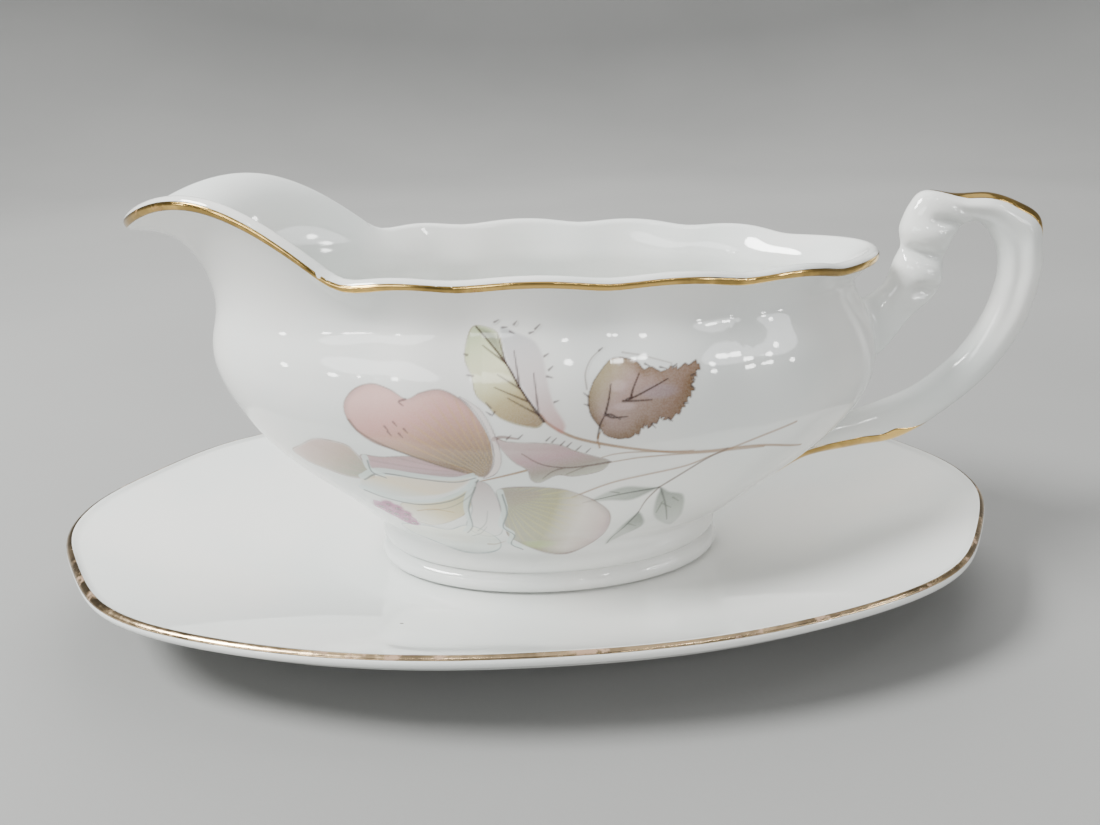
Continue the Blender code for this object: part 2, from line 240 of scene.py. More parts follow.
def sharp_rim(t):
    """The rim's highest line: x, y and z for each angle."""
    turn = np.abs((t + pi) % (2 * pi) - pi)
    side = np.where(np.sin(t) < 0, -1.0, 1.0)
    corner = LOBE_EDGES[-1]
    x, y = oval(turn, RIM_LEFT, RIM_RIGHT, RIM_HALF_WIDTH)
    corner_x, corner_y = oval(np.array(corner), RIM_LEFT, RIM_RIGHT, RIM_HALF_WIDTH)
    across = (x - corner_x) / (RIM_RIGHT - corner_x)
    z = RIM_TOP_Z - RIM_END_DROP * across**2 + LOBE_RISE * sharp_lobe(t)
    u = np.clip((turn - corner) / (pi - corner), 0.0, 1.0)
    weights = ((1 - u)**3, 3 * u * (1 - u)**2, 3 * u**2 * (1 - u), u**3)
    plan = ((corner_x, corner_y), SPOUT_SHOULDER, (SPOUT_TIP_X, SPOUT_FRONT_Y), (SPOUT_TIP_X, 0.0))
    spout_x = sum(w * p[0] for w, p in zip(weights, plan))
    spout_y = sum(w * p[1] for w, p in zip(weights, plan))
    climb = np.sin(pi * np.minimum(u, 0.5))**SPOUT_CLIMB_POWER
    fall = (1 - np.cos(2 * pi * np.maximum(u - 0.5, 0.0))) / 2
    spout_z = RIM_TOP_Z + (SPOUT_PEAK_Z - RIM_TOP_Z) * climb - (SPOUT_PEAK_Z - SPOUT_TIP_Z) * fall
    on_spout = turn > corner
    return np.stack([np.where(on_spout, spout_x, x), side * np.where(on_spout, spout_y, y),
                     np.where(on_spout, spout_z, z)], -1)


def rim(t):
    return softened(sharp_rim, t)


def bowl_middle(t, level):
    """Middle of the bowl's wall: level 0 to 1 is the body, 1 to 2 the flare under the rim."""
    stations = np.array(BODY_STATIONS)
    bottom, neck = stations[0, 0], stations[-1, 0]
    z = bottom + (neck - bottom) * np.minimum(level, 1.0)
    left, right, half_width = smooth_curve(z, stations[:, 0], stations[:, 1:]).T
    swell = LOBE_BULGE * np.clip(level, 0, 1)**LOBE_FADE_POWER * lobe(t) - WALL / 2
    x, y = oval(t, left, right, half_width)
    reach = np.where(np.cos(t) > 0, right, left)
    normal = unit(np.stack([np.cos(t) / reach, np.sin(t) / half_width], -1))
    body = np.stack([x + swell * normal[..., 0], y + swell * normal[..., 1],
                     z + WALL / 2 * (1 - np.minimum(level, 1.0))], -1)
    edge = rim(t)
    along = rim(t + SLOPE_STEP) - rim(t - SLOPE_STEP)
    out = unit(np.stack([along[..., 1], -along[..., 0]], -1))
    edge[..., :2] += (LOBE_BULGE * lobe(t) - WALL / 2)[..., None] * out
    edge[..., 2] -= WALL / 2
    turn = np.abs((t + pi) % (2 * pi) - pi)
    power = FLARE_POWER + (SPOUT_FLARE_POWER - FLARE_POWER) * smoothstep(LOBE_EDGES[-1], pi, turn)
    theta = FLARE_END * np.clip(level - 1, 0, 1)
    outward = (1 - np.cos(theta)**power) / (1 - np.cos(FLARE_END)**power)
    upward = np.sin(theta) / np.sin(FLARE_END)
    blend = np.stack([outward, outward, upward], -1)
    return body + (edge - body) * blend


def bowl_frame(t, level):
    """Wall middle, outward normal and upward tangent at one level, for every angle."""
    levels = np.full_like(t, level)
    low = np.maximum(levels - SLOPE_STEP, 0.0)
    high = np.minimum(levels + SLOPE_STEP, 2.0)
    along = bowl_middle(t + SLOPE_STEP, levels) - bowl_middle(t - SLOPE_STEP, levels)
    up = bowl_middle(t, high) - bowl_middle(t, low)
    return bowl_middle(t, levels), unit(np.cross(along, up)), unit(up)


def bowl_angles(count):
    """Angles that put equal stretches of rim between the vertices."""
    fine = np.linspace(0, 2 * pi, 4001)
    line = rim(fine)
    length = np.concatenate([[0], np.cumsum(np.linalg.norm(np.diff(line, axis=0), axis=1))])
    return np.interp(np.linspace(0, length[-1], count, endpoint=False), length, fine)


def oval_rows(t, stations):
    """Rings of a plain oval round the boat's middle, one for each (half-length, half-width, z)."""
    return [np.stack([a * np.cos(t), b * np.sin(t), np.full_like(t, z)], -1) for a, b, z in stations]


SKIN_LEVELS = (0.03, 0.08, 0.14, 0.21, 0.29, 0.38, 0.47, 0.56, 0.65, 0.74, 0.83, 0.91, 0.96,
               1.0, 1.08, 1.2, 1.34, 1.48, 1.62, 1.74, 1.84, 1.91, 1.96, 2.0)


def neck_rounded(rings, rows):
    """Places 0 to 1 along a wall's rings, averaged over a few mm between its two ends, which
    rounds the line where the flare starts."""
    lengths = np.linalg.norm(np.diff(rings, axis=0), axis=2).mean(1)
    knots = np.concatenate([[0], np.cumsum(lengths)])
    even = np.linspace(0, knots[-1], 120)
    rings = smooth_curve(even, knots, rings)
    top = even[-1]
    reach = NECK_ROUNDING * window(8, 20, top - 7, top - 1, even)
    weights = np.exp(-0.5 * ((even[:, None] - even) / (reach[:, None] + 0.05))**2)
    weights /= weights.sum(1, keepdims=True)
    return smooth_curve(rows * even[-1], even, np.tensordot(weights, rings, 1))


def outer_skin(t, rows):
    """Grid of the boat's outer skin. Rows run from 0 at the foot's groove to 1 at the rim."""
    rings = oval_rows(t, SKIRT_STATIONS)
    for level in SKIN_LEVELS:
        middle, normal, _ = bowl_frame(t, level)
        rings.append(middle + WALL / 2 * normal)
    return neck_rounded(np.array(rings), rows)


# ---------------------------------------------------------------- meshes
def make_piece(name, points, faces, material, body):
    """One object from an array of points in mm and a list of faces, riding on a body."""
    mesh = bpy.data.meshes.new(name)
    mesh.from_pydata((np.asarray(points) * MM).tolist(), [], faces)
    mesh.update()
    mesh.shade_smooth()
    mesh.materials.append(material)
    item = bpy.data.objects.new(name, mesh)
    bpy.context.scene.collection.objects.link(item)
    if body:
        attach(item, body)
    return item


def grid_faces(rows, columns, wrap=True, close=False, first=0):
    """Quads between the rows of a grid; wrap joins the last column to the first."""
    r = np.arange(rows if close else rows - 1)
    c = np.arange(columns if wrap else columns - 1)
    r, c = np.meshgrid(r, c, indexing="ij")
    r2 = (r + 1) % rows
    c2 = (c + 1) % columns
    quads = np.stack([r * columns + c, r * columns + c2, r2 * columns + c2, r2 * columns + c], -1)
    return (quads.reshape(-1, 4) + first).tolist()


def ring_piece(name, rings, material, body, close=False, caps=()):
    """Closed piece from rings of points; caps are the points that close the two ends."""
    rings = np.asarray(rings)
    rows, columns = rings.shape[:2]
    points = rings.reshape(-1, 3)
    faces = grid_faces(rows, columns, close=close)
    for cap, row in zip(caps, (0, rows - 1)):
        tip = len(points)
        points = np.vstack([points, cap])
        for i in range(columns):
            a, b = row * columns + i, row * columns + (i + 1) % columns
            faces.append([tip, b, a] if row == 0 else [tip, a, b])
    return make_piece(name, points, faces, material, body)


def gold_band(lift, sink, fade, spread=0.0):
    """Section of a gold band, thin at its edges: share of its width, and height on the glaze."""
    top = [(s, lift * min(1, 4 * s + fade, 4 * (1 - s) + fade)) for s in np.linspace(0, 1, 7)]
    return top + [(1 + spread, -sink), (-spread, -sink)]


def to_row(points):
    """Moves points from the boat's own x to the shared frame."""
    return np.asarray(points) + np.array([BOAT_X, 0.0, 0.0])


# ---------------------------------------------------------------- materials
class Nodes:
    """Short way to write a node tree."""

    def __init__(self, name):
        self.material = bpy.data.materials.new(name)
        self.material.use_nodes = True
        self.tree = self.material.node_tree
        self.shader = self.tree.nodes["Principled BSDF"]
        self.place = self.add("ShaderNodeTexCoord").outputs["Object"]

    def add(self, kind, links=(), **settings):
        node = self.tree.nodes.new(kind)
        for key, value in settings.items():
            if key[0] == "_":
                node.inputs[key[1:].replace("_", " ")].default_value = value
            else:
                setattr(node, key, value)
        for socket, source in dict(links).items():
            self.tree.links.new(source, node.inputs[socket])
        return node

    def noise(self, scale, detail=3.0, rough=0.5):
        return self.add("ShaderNodeTexNoise", {"Vector": self.place}, _Scale=scale,
                        _Detail=detail, _Roughness=rough).outputs["Fac"]

    def span(self, value, low, high, to_low=0.0, to_high=1.0):
        """Value from low..high mapped smoothly to to_low..to_high."""
        node = self.add("ShaderNodeMapRange", {"Value": value}, interpolation_type="SMOOTHSTEP")
        for key, number in (("From Min", low), ("From Max", high), ("To Min", to_low), ("To Max", to_high)):
            node.inputs[key].default_value = number
        return node.outputs["Result"]

    def mix(self, factor, a, b):
        node = self.add("ShaderNodeMix", data_type="RGBA")
        for socket, source in ((node.inputs[0], factor), (node.inputs[6], a), (node.inputs[7], b)):
            if isinstance(source, tuple):
                socket.default_value = (*source, 1.0)
            elif isinstance(source, float):
                socket.default_value = source
            else:
                self.tree.links.new(source, socket)
        return node.outputs[2]

    def bump(self, parts):
        """Bump from (height, distance in mm) pairs."""
        normal = None
        for height, depth in parts:
            links = {"Height": height}
            if normal is not None:
                links["Normal"] = normal
            node = self.add("ShaderNodeBump", links, _Strength=1.0, _Distance=depth * MM)
            normal = node.outputs["Normal"]
        self.tree.links.new(normal, self.shader.inputs["Normal"])

    def set(self, **values):
        for key, value in values.items():
            socket = self.shader.inputs[key.replace("_", " ")]
            if isinstance(value, bpy.types.NodeSocket):
                self.tree.links.new(value, socket)
            elif isinstance(value, tuple):
                socket.default_value = (*value, 1.0)
            else:
                socket.default_value = value


WHITE_WARM = (0.79, 0.785, 0.76)
WHITE_COOL = (0.735, 0.76, 0.745)
SPECK = (0.10, 0.06, 0.035)


def glaze(name, specks=0.0, print_layer=False):
    """Glazed porcelain: soft mottling, pinholes, faint waves in the glaze and iron specks."""
    n = Nodes(name)
    colour = n.mix(n.span(n.noise(26.0, 4.0), 0.35, 0.65), WHITE_COOL, WHITE_WARM)
    cloud = n.span(n.noise(7.0, 2.0), 0.40, 0.72, 0.0, 0.35)
    colour = n.mix(cloud, colour, (0.69, 0.705, 0.685))
    if specks:
        cells = n.add("ShaderNodeTexVoronoi", {"Vector": n.place}, _Scale=specks)
        near = n.span(cells.outputs["Distance"], 0.018, 0.034, 1.0, 0.0)
        chosen = n.add("ShaderNodeSeparateColor", {"Color": cells.outputs["Color"]})
        rare = n.span(chosen.outputs["Red"], 0.72, 0.74)
        spot = n.add("ShaderNodeMath", {0: near, 1: rare}, operation="MULTIPLY")
        colour = n.mix(spot.outputs[0], colour, SPECK)
    roughness = n.span(n.noise(45.0, 5.0), 0.3, 0.75, 0.035, 0.085)
    if print_layer:
        ink = n.add("ShaderNodeVertexColor", layer_name="ink")
        dots = n.add("ShaderNodeTexNoise", {"Vector": n.place}, _Scale=2600.0, _Detail=1.0)
        grain = n.span(dots.outputs["Fac"], 0.3, 0.7, 0.94, 1.0)
        cover = n.add("ShaderNodeMath", {0: ink.outputs["Alpha"], 1: grain}, operation="MULTIPLY")
        colour = n.mix(cover.outputs[0], colour, ink.outputs["Color"])
        matt = n.span(ink.outputs["Alpha"], 0.0, 0.8, 0.0, 0.05)
        roughness = n.add("ShaderNodeMath", {0: roughness, 1: matt}, operation="ADD").outputs[0]
    n.set(Base_Color=colour, Roughness=roughness, IOR=1.52, Coat_Weight=0.35, Coat_Roughness=0.02)
    n.bump([(n.noise(38.0, 2.0), 0.10), (n.noise(420.0, 2.0), 0.006)])
    return n.material


def gilding(name, colour, worn, wear, roughness):
    """Burnished gold: painted reflection as darker and lighter stretches in its colour, small scratches and
    places rubbed thin.
    """
    n = Nodes(name)
    cloud = n.noise(160.0, 5.0, 0.6)
    # Painted reflection: the colour drops to half its brightness in stretches, standing in for dark and bright
    # surroundings mirrored in the gold.
    tone = n.mix(n.span(n.noise(60.0, 4.0, 0.6), 0.42, 0.60), colour, tuple(c * 0.5 for c in colour))
    rubbed = n.span(cloud, 0.62 - wear, 0.70 - wear)
    tone = n.mix(rubbed, tone, worn)
    metal = n.span(cloud, 0.62 - wear, 0.70 - wear, 1.0, 0.35)
    gloss = n.span(n.noise(500.0, 4.0), 0.3, 0.7, roughness * 0.7, roughness * 1.4)
    n.set(Base_Color=tone, Metallic=metal, Roughness=gloss)
    n.bump([(n.noise(300.0, 3.0), 0.02), (n.noise(1500.0, 2.0), 0.004)])
    return n.material


def studio_floor():
    n = Nodes("pale_paper")
    tone = n.mix(n.span(n.noise(3.0, 4.0), 0.3, 0.7), (0.240, 0.240, 0.236), (0.262, 0.261, 0.257))
    n.set(Base_Color=tone, Roughness=0.75)
    n.bump([(n.noise(900.0, 3.0), 0.03)])
    return n.material


BOWL_GLAZE = glaze("bowl_glaze")
FOOT_GLAZE = glaze("foot_glaze")
HANDLE_GLAZE = glaze("handle_glaze")
PLATE_GLAZE = glaze("plate_glaze", specks=55.0)
PRINT_GLAZE = glaze("print_glaze", print_layer=True)
RIM_GOLD = gilding("rim_gold", (0.80, 0.53, 0.17), (0.46, 0.25, 0.09), 0.0, 0.14)
PLATE_GOLD = gilding("plate_gold", (0.68, 0.50, 0.30), (0.46, 0.31, 0.21), 0.07, 0.20)

# ---------------------------------------------------------------- underplate
PLATE_COLUMNS = 480
PLATE_GILDING_COLUMNS = 1200


def plate_ring(t, half, z, squareness=2.0, lobes=0.0):
    crest = (1 + np.cos(PLATE_LOBES * t)) / 2
    power = 2 / squareness
    x = PLATE_X + (half[0] + lobes * crest) * np.sign(np.cos(t)) * np.abs(np.cos(t))**power
    y = half[1] * np.sign(np.sin(t)) * np.abs(np.sin(t))**power
    return np.stack([x, y, np.full_like(t, z)], -1)


def plate_at(t, share, z, inset=0.0):
    """Ring at a share of the way from the well (0) to the rim (1)."""
    rim_half = (PLATE_HALF[0] - PLATE_LOBE_DEPTH, PLATE_HALF[1])
    half = [w + share * (r - w) - inset for w, r in zip(WELL_HALF, rim_half)]
    squareness = 2.0 + (PLATE_SQUARENESS - 2.0) * max(share, 0.0)
    return plate_ring(t, half, z, squareness, PLATE_LOBE_DEPTH * max(share, 0.0)**2)


def plate_top(share):
    return WELL_Z + (PLATE_RIM_Z - WELL_Z) * share**PLATE_RISE_POWER


def plate_bottom(share):
    return plate_top(share) - PLATE_EDGE - PLATE_THICKENING * (1 - share)


def build_underplate():
    t = np.linspace(0, 2 * pi, PLATE_COLUMNS, endpoint=False)
    half_edge = PLATE_EDGE / 2
    rings = [plate_at(t, share, WELL_Z) for share in (-0.7, -0.35, -0.1)]
    rings += [plate_at(t, share, plate_top(share)) for share in np.linspace(0, 0.97, 40)]
    for turn in np.linspace(pi / 2, -pi / 2, 17):
        inset = half_edge * (1 - np.cos(turn))
        rings.append(plate_at(t, 1.0, PLATE_RIM_Z - half_edge + half_edge * np.sin(turn), inset))
    root_share = (PLATE_FOOT_HALF[0] - WELL_HALF[0]) / (PLATE_HALF[0] - WELL_HALF[0])
    under = np.linspace(0.95, root_share + 0.06, 16)
    rings += [plate_at(t, s, plate_bottom(s)) for s in under]
    foot = (
        (1.0, plate_bottom(root_share)),
        (0.2, 1.2), (0.0, 0.6), (-0.6, 0.0),
        (0.6 - PLATE_FOOT_WIDTH, 0.0), (-PLATE_FOOT_WIDTH, 0.6), (-PLATE_FOOT_WIDTH - 0.3, 1.2),
        (-PLATE_FOOT_WIDTH - 1.5, PLATE_FOOT_HEIGHT),
    )
    rings += [plate_ring(t, [h + grow for h in PLATE_FOOT_HALF], z) for grow, z in foot]
    caps = ((PLATE_X, 0.0, WELL_Z), (PLATE_X, 0.0, PLATE_FOOT_HEIGHT))
    plate = ring_piece("underplate_body", rings, PLATE_GLAZE, "underplate", caps=caps)
    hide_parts("underplate")

    # The gilding runs round the outer shoulder of the rim.
    t = np.linspace(0, 2 * pi, PLATE_GILDING_COLUMNS, endpoint=False)
    wider = smoothstep(0.2, 1.0, -np.cos(t))
    low = radians(31) - radians(9) * wider + radians(3.0) * wave(t, 5, (2, 9, 17, 31, 53))
    high = radians(81) + radians(9) * wider + radians(4.0) * wave(t, 8, (3, 7, 19, 29, 61))
    section = []
    for share, height in gold_band(0.04, 0.1, 0.15, 0.02):
        turn = low + (high - low) * share
        radius = half_edge + height
        ring = plate_at(t, 1.0, 0.0)
        side = plate_at(t, 1.0, 0.0, 1.0) - ring
        ring = ring + side * (half_edge - radius * np.cos(turn))[:, None]
        ring[:, 2] = PLATE_RIM_Z - half_edge + radius * np.sin(turn)
        section.append(ring)
    ring_piece("underplate_gilding", section, PLATE_GOLD, "underplate", close=True)


# ---------------------------------------------------------------- bowl, foot and gilding
BOWL_COLUMNS = 560
OUTER_ROWS = 92
INNER_ROWS = 56
FOOT_COLUMNS = 300
RIM_GILDING_COLUMNS = 1100


def build_bowl():
    t = bowl_angles(BOWL_COLUMNS)
    half_wall = WALL / 2
    rings = oval_rows(t, ((20.0, 12.0, BOWL_BOTTOM), (36.8, 22.6, BOWL_BOTTOM), (38.0, 23.6, 18.6)))
    rings += list(outer_skin(t, np.linspace(0, 1, OUTER_ROWS)))
    middle, normal, up = bowl_frame(t, 2.0)
    for turn in np.linspace(0, pi, 15)[1:]:
        rings.append(middle + half_wall * (np.cos(turn) * normal + np.sin(turn) * up))
    inner = []
    for level in (0.1,) + SKIN_LEVELS[3:]:
        middle, normal, _ = bowl_frame(t, level)
        inner.append(middle - half_wall * normal)
    rings += list(neck_rounded(np.array(inner), np.linspace(0, 1, INNER_ROWS))[-2::-1])
    last = rings[-1]
    floor_z = BOWL_BOTTOM + WALL
    for share in (0.97, 0.93, 0.88, 0.8, 0.7, 0.55, 0.35, 0.15):
        ring = last * np.array([share, share, 1.0])
        ring[:, 2] = floor_z + (last[:, 2] - floor_z) * share**7
        rings.append(ring)
    caps = ((0.0, 0.0, BOWL_BOTTOM), (0.0, 0.0, floor_z))
    bowl = ring_piece("bowl_and_spout", to_row(rings), BOWL_GLAZE, "boat", caps=to_row(caps))
    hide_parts("boat_bowl")


def build_foot():
    t = np.linspace(0, 2 * pi, FOOT_COLUMNS, endpoint=False)
    stations = np.array(FOOT_STATIONS)
    rows = np.arange(len(stations), dtype=float)
    curve = smooth_curve(np.linspace(0, 8, 33), rows[:9], stations[:9])
    closed = np.vstack([curve, stations[9:]])
    foot = ring_piece("foot_bead", to_row(oval_rows(t, closed)), FOOT_GLAZE, "boat", close=True)
    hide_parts("boat_foot")


def build_rim_gilding():
    """Band of gold under the white roll of the rim, where the edge faces outwards."""
    t = bowl_angles(RIM_GILDING_COLUMNS)
    middle, normal, up = bowl_frame(t, 2.0)
    tilt = np.arcsin(np.clip(-normal[:, 2], -1, 1))
    low = tilt + radians(-44) + radians(5) * wave(t, 11, (4, 9, 23, 37, 59))
    high = tilt + radians(26) + radians(4) * wave(t, 12, (3, 11, 19, 41, 67))
    section = []
    for share, height in gold_band(0.045, 0.12, 0.1):
        turn = low + (high - low) * share
        radius = WALL / 2 + height
        section.append(middle + radius * (np.cos(turn)[:, None] * normal + np.sin(turn)[:, None] * up))
    ring_piece("rim_gilding", to_row(section), RIM_GOLD, "boat", close=True)


# ---------------------------------------------------------------- printed spray
def tint(red, green, blue):
    """Colour of the ink, 0 to 255 where 218 is the white glaze, as linear light."""
    share = 0.905 * np.minimum(np.array([red, green, blue]) / 218.0, 1)**2.4
    return np.where(share <= 0.04045, share / 12.92, ((share + 0.055) / 1.055)**2.4)


def line_through(points, closed=False, steps=8):
    """Smooth line through a few points."""
    p = np.asarray(points, float)
    if closed:
        p = np.vstack([p[-1:], p, p[:2]])
    else:
        p = np.vstack([2 * p[0] - p[1], p, 2 * p[-1] - p[-2]])
    u = np.linspace(0, 1, steps, endpoint=False)[:, None]
    parts = []
    for a, b, c, d in zip(p[:-3], p[1:-2], p[2:-1], p[3:]):
        parts.append(b + 0.5 * ((c - a) * u + (2 * a - 5 * b + 4 * c - d) * u**2
                                + (3 * b - a - 3 * c + d) * u**3))
    parts.append(parts[0][:1] if closed else p[-2:-1])
    return np.vstack(parts)


def nearest(places, line):
    """Distance to a line, and how far along it (0 to 1) the nearest place is."""
    best = np.full(len(places), 1e9)
    along = np.zeros(len(places))
    for k, (a, b) in enumerate(zip(line[:-1], line[1:])):
        step = b - a
        share = np.clip((places - a) @ step / max(step @ step, 1e-9), 0, 1)
        gap = np.linalg.norm(places - a - share[:, None] * step, axis=1)
        closer = gap < best
        best[closer] = gap[closer]
        along[closer] = (k + share[closer]) / (len(line) - 1)
    return best, along


def enclosed(places, line):
    odd = np.zeros(len(places), bool)
    for (x0, z0), (x1, z1) in zip(line[:-1], line[1:]):
        if z0 != z1:
            between = (places[:, 1] < z0) != (places[:, 1] < z1)
            odd ^= between & (places[:, 0] < x0 + (x1 - x0) * (places[:, 1] - z0) / (z1 - z0))
    return odd


class Spray:
    """Ink on a set of places (x, z) in mm, painted layer over layer."""

    def __init__(self, places):
        self.places = places
        self.colour = np.zeros((len(places), 3)) + tint(210, 200, 195)
        self.cover = np.zeros(len(places))

    def close_to(self, line, margin):
        low, high = line.min(0) - margin, line.max(0) + margin
        return np.flatnonzero(((self.places > low) & (self.places < high)).all(1))

    def lay(self, where, colour, amount):
        amount = np.clip(amount, 0, 1)
        old = self.cover[where] * (1 - amount)
        total = np.maximum(old + amount, 1e-6)
        mixed = (self.colour[where] * old[:, None] + colour * amount[:, None]) / total[:, None]
        self.colour[where] = np.where((amount > 0)[:, None], mixed, self.colour[where])
        self.cover[where] = old + amount

    def petal(self, outline, start, end, colours, strength=0.9, edge=None, edge_width=0.3,
              rim=None, veins=None, soft=0.35, teeth=None):
        """Filled shape. The colours run from start to end; rim is a (colour, width, strength)
        shade inside the edge; veins are (base, count, colour, strength, reach); teeth are
        (count, depth, first, last), with first and last as shares of the way round."""
        line = line_through(outline, closed=True)
        if teeth is not None:
            count, depth, first, last = teeth
            share = np.linspace(0, 1, len(line))
            way = unit(np.gradient(line, axis=0))
            part = window(first, first + 0.03, last - 0.03, last, share)
            push = depth * part * (count * share % 1)
            line = line + np.stack([-way[:, 1], way[:, 0]], -1) * push[:, None]
        where = self.close_to(line, 1.0)
        q = self.places[where]
        gap, along = nearest(q, line)
        inside = enclosed(q, line)
        way = np.array(end, float) - start
        share = np.clip((q - start) @ way / (way @ way), 0, 1)
        stops = np.array([tint(*c[:3]) for c in colours])
        thick = np.array([c[3] if len(c) > 3 else 1.0 for c in colours])
        knots = np.linspace(0, 1, len(colours))
        colour = np.stack([np.interp(share, knots, stops[:, i]) for i in range(3)], -1)
        amount = strength * np.interp(share, knots, thick)
        if veins is not None:
            base, count, vein, power, reach = veins
            d = q - base
            turn = np.arctan2(d[:, 1], d[:, 0])
            far = np.hypot(d[:, 0], d[:, 1]) / reach
            ray = smoothstep(0.35, 1.0, np.cos(count * turn + 1.1 * np.sin(5 * turn + 3 * far)))
            ray *= power * window(0.05, 0.25, 0.7, 1.0, far)
            colour = colour + (tint(*vein) - colour) * ray[:, None]
        if rim is not None:
            shade, width, power = rim
            near = power * (1 - smoothstep(0, width, gap)) * (0.65 + 0.35 * np.sin(21 * along + 1.3))
            colour = colour + (tint(*shade) - colour) * near[:, None]
            amount = amount + (1 - amount) * near * 0.5
        if edge is not None:
            soft = soft * 0.4
        self.lay(where, colour, np.where(inside, amount * smoothstep(-0.1, soft, gap), 0.0))
        if edge is not None:
            # The outline is only a little darker than the filling.
            uneven = 0.55 + 0.25 * np.sin(17 * along + 0.7) * np.sin(41 * along)
            self.lay(where, tint(*edge), uneven * (1 - smoothstep(edge_width * 0.4, edge_width * 1.3, gap)))

    def stroke(self, points, width, colour, strength=0.9, thin_end=0.5):
        """Line that narrows towards its last point."""
        line = line_through(points) if len(points) > 2 else np.array(points, float)
        where = self.close_to(line, 1.0)
        gap, along = nearest(self.places[where], line)
        half = width / 2 * (1 - (1 - thin_end) * along)
        self.lay(where, tint(*colour), strength * (1 - smoothstep(half - 0.1, half + 0.18, gap)))

    def strokes(self, lines, *style):
        for line in lines:
            self.stroke(line, *style)

    def ticks(self, ticks, *style):
        """Short straight hairs from (x, z) to (x + dx, z + dz)."""
        self.strokes([((x, z), (x + dx, z + dz)) for x, z, dx, dz in ticks], *style)

    def blob(self, centre, half, colour, strength=0.9):
        where = self.close_to(np.array([centre]), max(half) * 2)
        d = (self.places[where] - centre) / half
        self.lay(where, tint(*colour), strength * (1 - smoothstep(0.55, 1.25, np.hypot(d[:, 0], d[:, 1]))))


STEM = (176, 154, 122)
STEM_DARK = (146, 124, 106)
VEIN = (118, 94, 86)
PLUM = (122, 88, 96)


# The outlines below follow the photographed print closely and are not a generic drawing, which is an open
# fault. Each point is (x, z) in mm on the front of the boat.
def draw_stems(ink):
    ink.stroke(((57.7, 42.6), (47.2, 45.9), (34.5, 47.1), (26.5, 48.0), (18.8, 49.5), (11.4, 51.3),
            (4.1, 53.8), (-0.9, 56.9), (-2.9, 59.3)), 0.55, STEM, 0.85, 1.2)
    ink.stroke(((47.0, 45.6), (34.5, 46.7), (26.5, 47.5), (18.9, 47.6), (15.2, 47.3), (11.1, 46.8)),
            0.45, STEM, 0.75)
    ink.stroke(((30.0, 47.9), (18.9, 49.0), (13.3, 49.0), (10.0, 48.4)), 0.4, STEM, 0.7)
    ink.stroke(((54.4, 50.7), (46.7, 48.9), (38.6, 46.7), (34.6, 45.8), (28.8, 44.0), (19.2, 42.6),
            (11.7, 41.0), (3.8, 37.9)), 0.5, STEM, 0.7, 0.8)
    ink.stroke(((38.0, 46.9), (33.5, 45.2), (29.0, 42.5), (23.0, 38.5)), 0.5, STEM_DARK, 0.75, 0.9)
    ink.stroke(((23.0, 38.5), (20.9, 35.8), (19.9, 34.0), (18.9, 31.2)), 0.45, STEM_DARK, 0.75)
    ink.stroke(((-6.3, 46.0), (-12.0, 44.2), (-16.0, 43.0)), 0.5, STEM, 0.9)


def draw_tall_leaf(ink):
    ink.petal(((-10.6, 76.7), (-6.2, 75.5), (-3.0, 73.8), (-1.4, 70.5), (-0.9, 67.3), (0.3, 61.6),
            (2.6, 56.8), (1.2, 54.6), (-2.2, 57.8), (-3.2, 59.3), (-6.7, 64.7), (-9.5, 69.7)),
            (-5, 77), (1, 55), ((186, 188, 190, 0.8), (196, 184, 186, 0.62), (198, 160, 158, 0.8)),
            0.8, soft=0.9)
    ink.petal(((-15.3, 76.9), (-17.1, 74.6), (-17.9, 70.7), (-16.7, 67.2), (-15.8, 63.4), (-13.6, 61.2),
            (-11.4, 58.7), (-7.0, 57.0), (-3.6, 56.5), (-2.2, 57.8), (-3.2, 59.3), (-6.7, 64.7),
            (-9.5, 69.7), (-10.9, 75.4)), (-13, 76), (-4, 57),
            ((188, 196, 160, 0.75), (206, 206, 168, 0.6), (186, 176, 138, 0.95), (172, 156, 124)),
            0.9, edge=(176, 172, 140), edge_width=0.18, soft=0.8)
    ink.petal(((-15.0, 76.6), (-11.0, 75.2), (-9.6, 69.9), (-12.2, 72.6)), (-12, 76), (-10, 69),
            ((150, 152, 142), (168, 170, 156)), 0.7, soft=1.0)
    ink.stroke(((-2.2, 57.8), (-3.2, 59.3), (-6.7, 64.7), (-9.5, 69.7), (-15.3, 76.7)), 0.6, VEIN, 0.95, 0.6)
    ink.strokes((((-9.5, 69.7), (-11.0, 75.2)), ((-9.5, 69.7), (-14.1, 73.0)), ((-6.9, 65.4), (-7.7, 72.0)),
            ((-6.7, 64.7), (-11.3, 67.5)), ((-3.2, 59.6), (-3.9, 67.7)), ((-3.2, 59.3), (-9.5, 62.9)),
            ((-5.0, 62.0), (-12.0, 65.0))), 0.42, VEIN, 0.8, 0.35)
    ink.ticks(((-11.5, 77.6, 0.9, 0.5), (-9.9, 76.5, 1.0, 0.1), (-8.4, 75.7, 0.9, -0.4),
            (-7.5, 77.1, 0.6, 0.7), (-3.2, 76.1, 1.0, 0.9), (-4.4, 75.3, 0.9, 0.3),
            (-1.6, 70.8, 0.9, 0.5), (-0.8, 68.2, 0.9, 0.7), (-1.2, 67.0, 1.1, -0.3),
            (0.1, 61.8, 0.9, 0.3), (-16.4, 67.2, -1.2, 0.2), (-13.0, 60.8, -0.9, 1.1),
            (-13.1, 59.4, -0.9, 0.6), (-12.2, 60.0, -0.6, -0.9), (-17.4, 71.2, -0.7, 0.2)), 0.42, PLUM,
            0.75, 0.4)


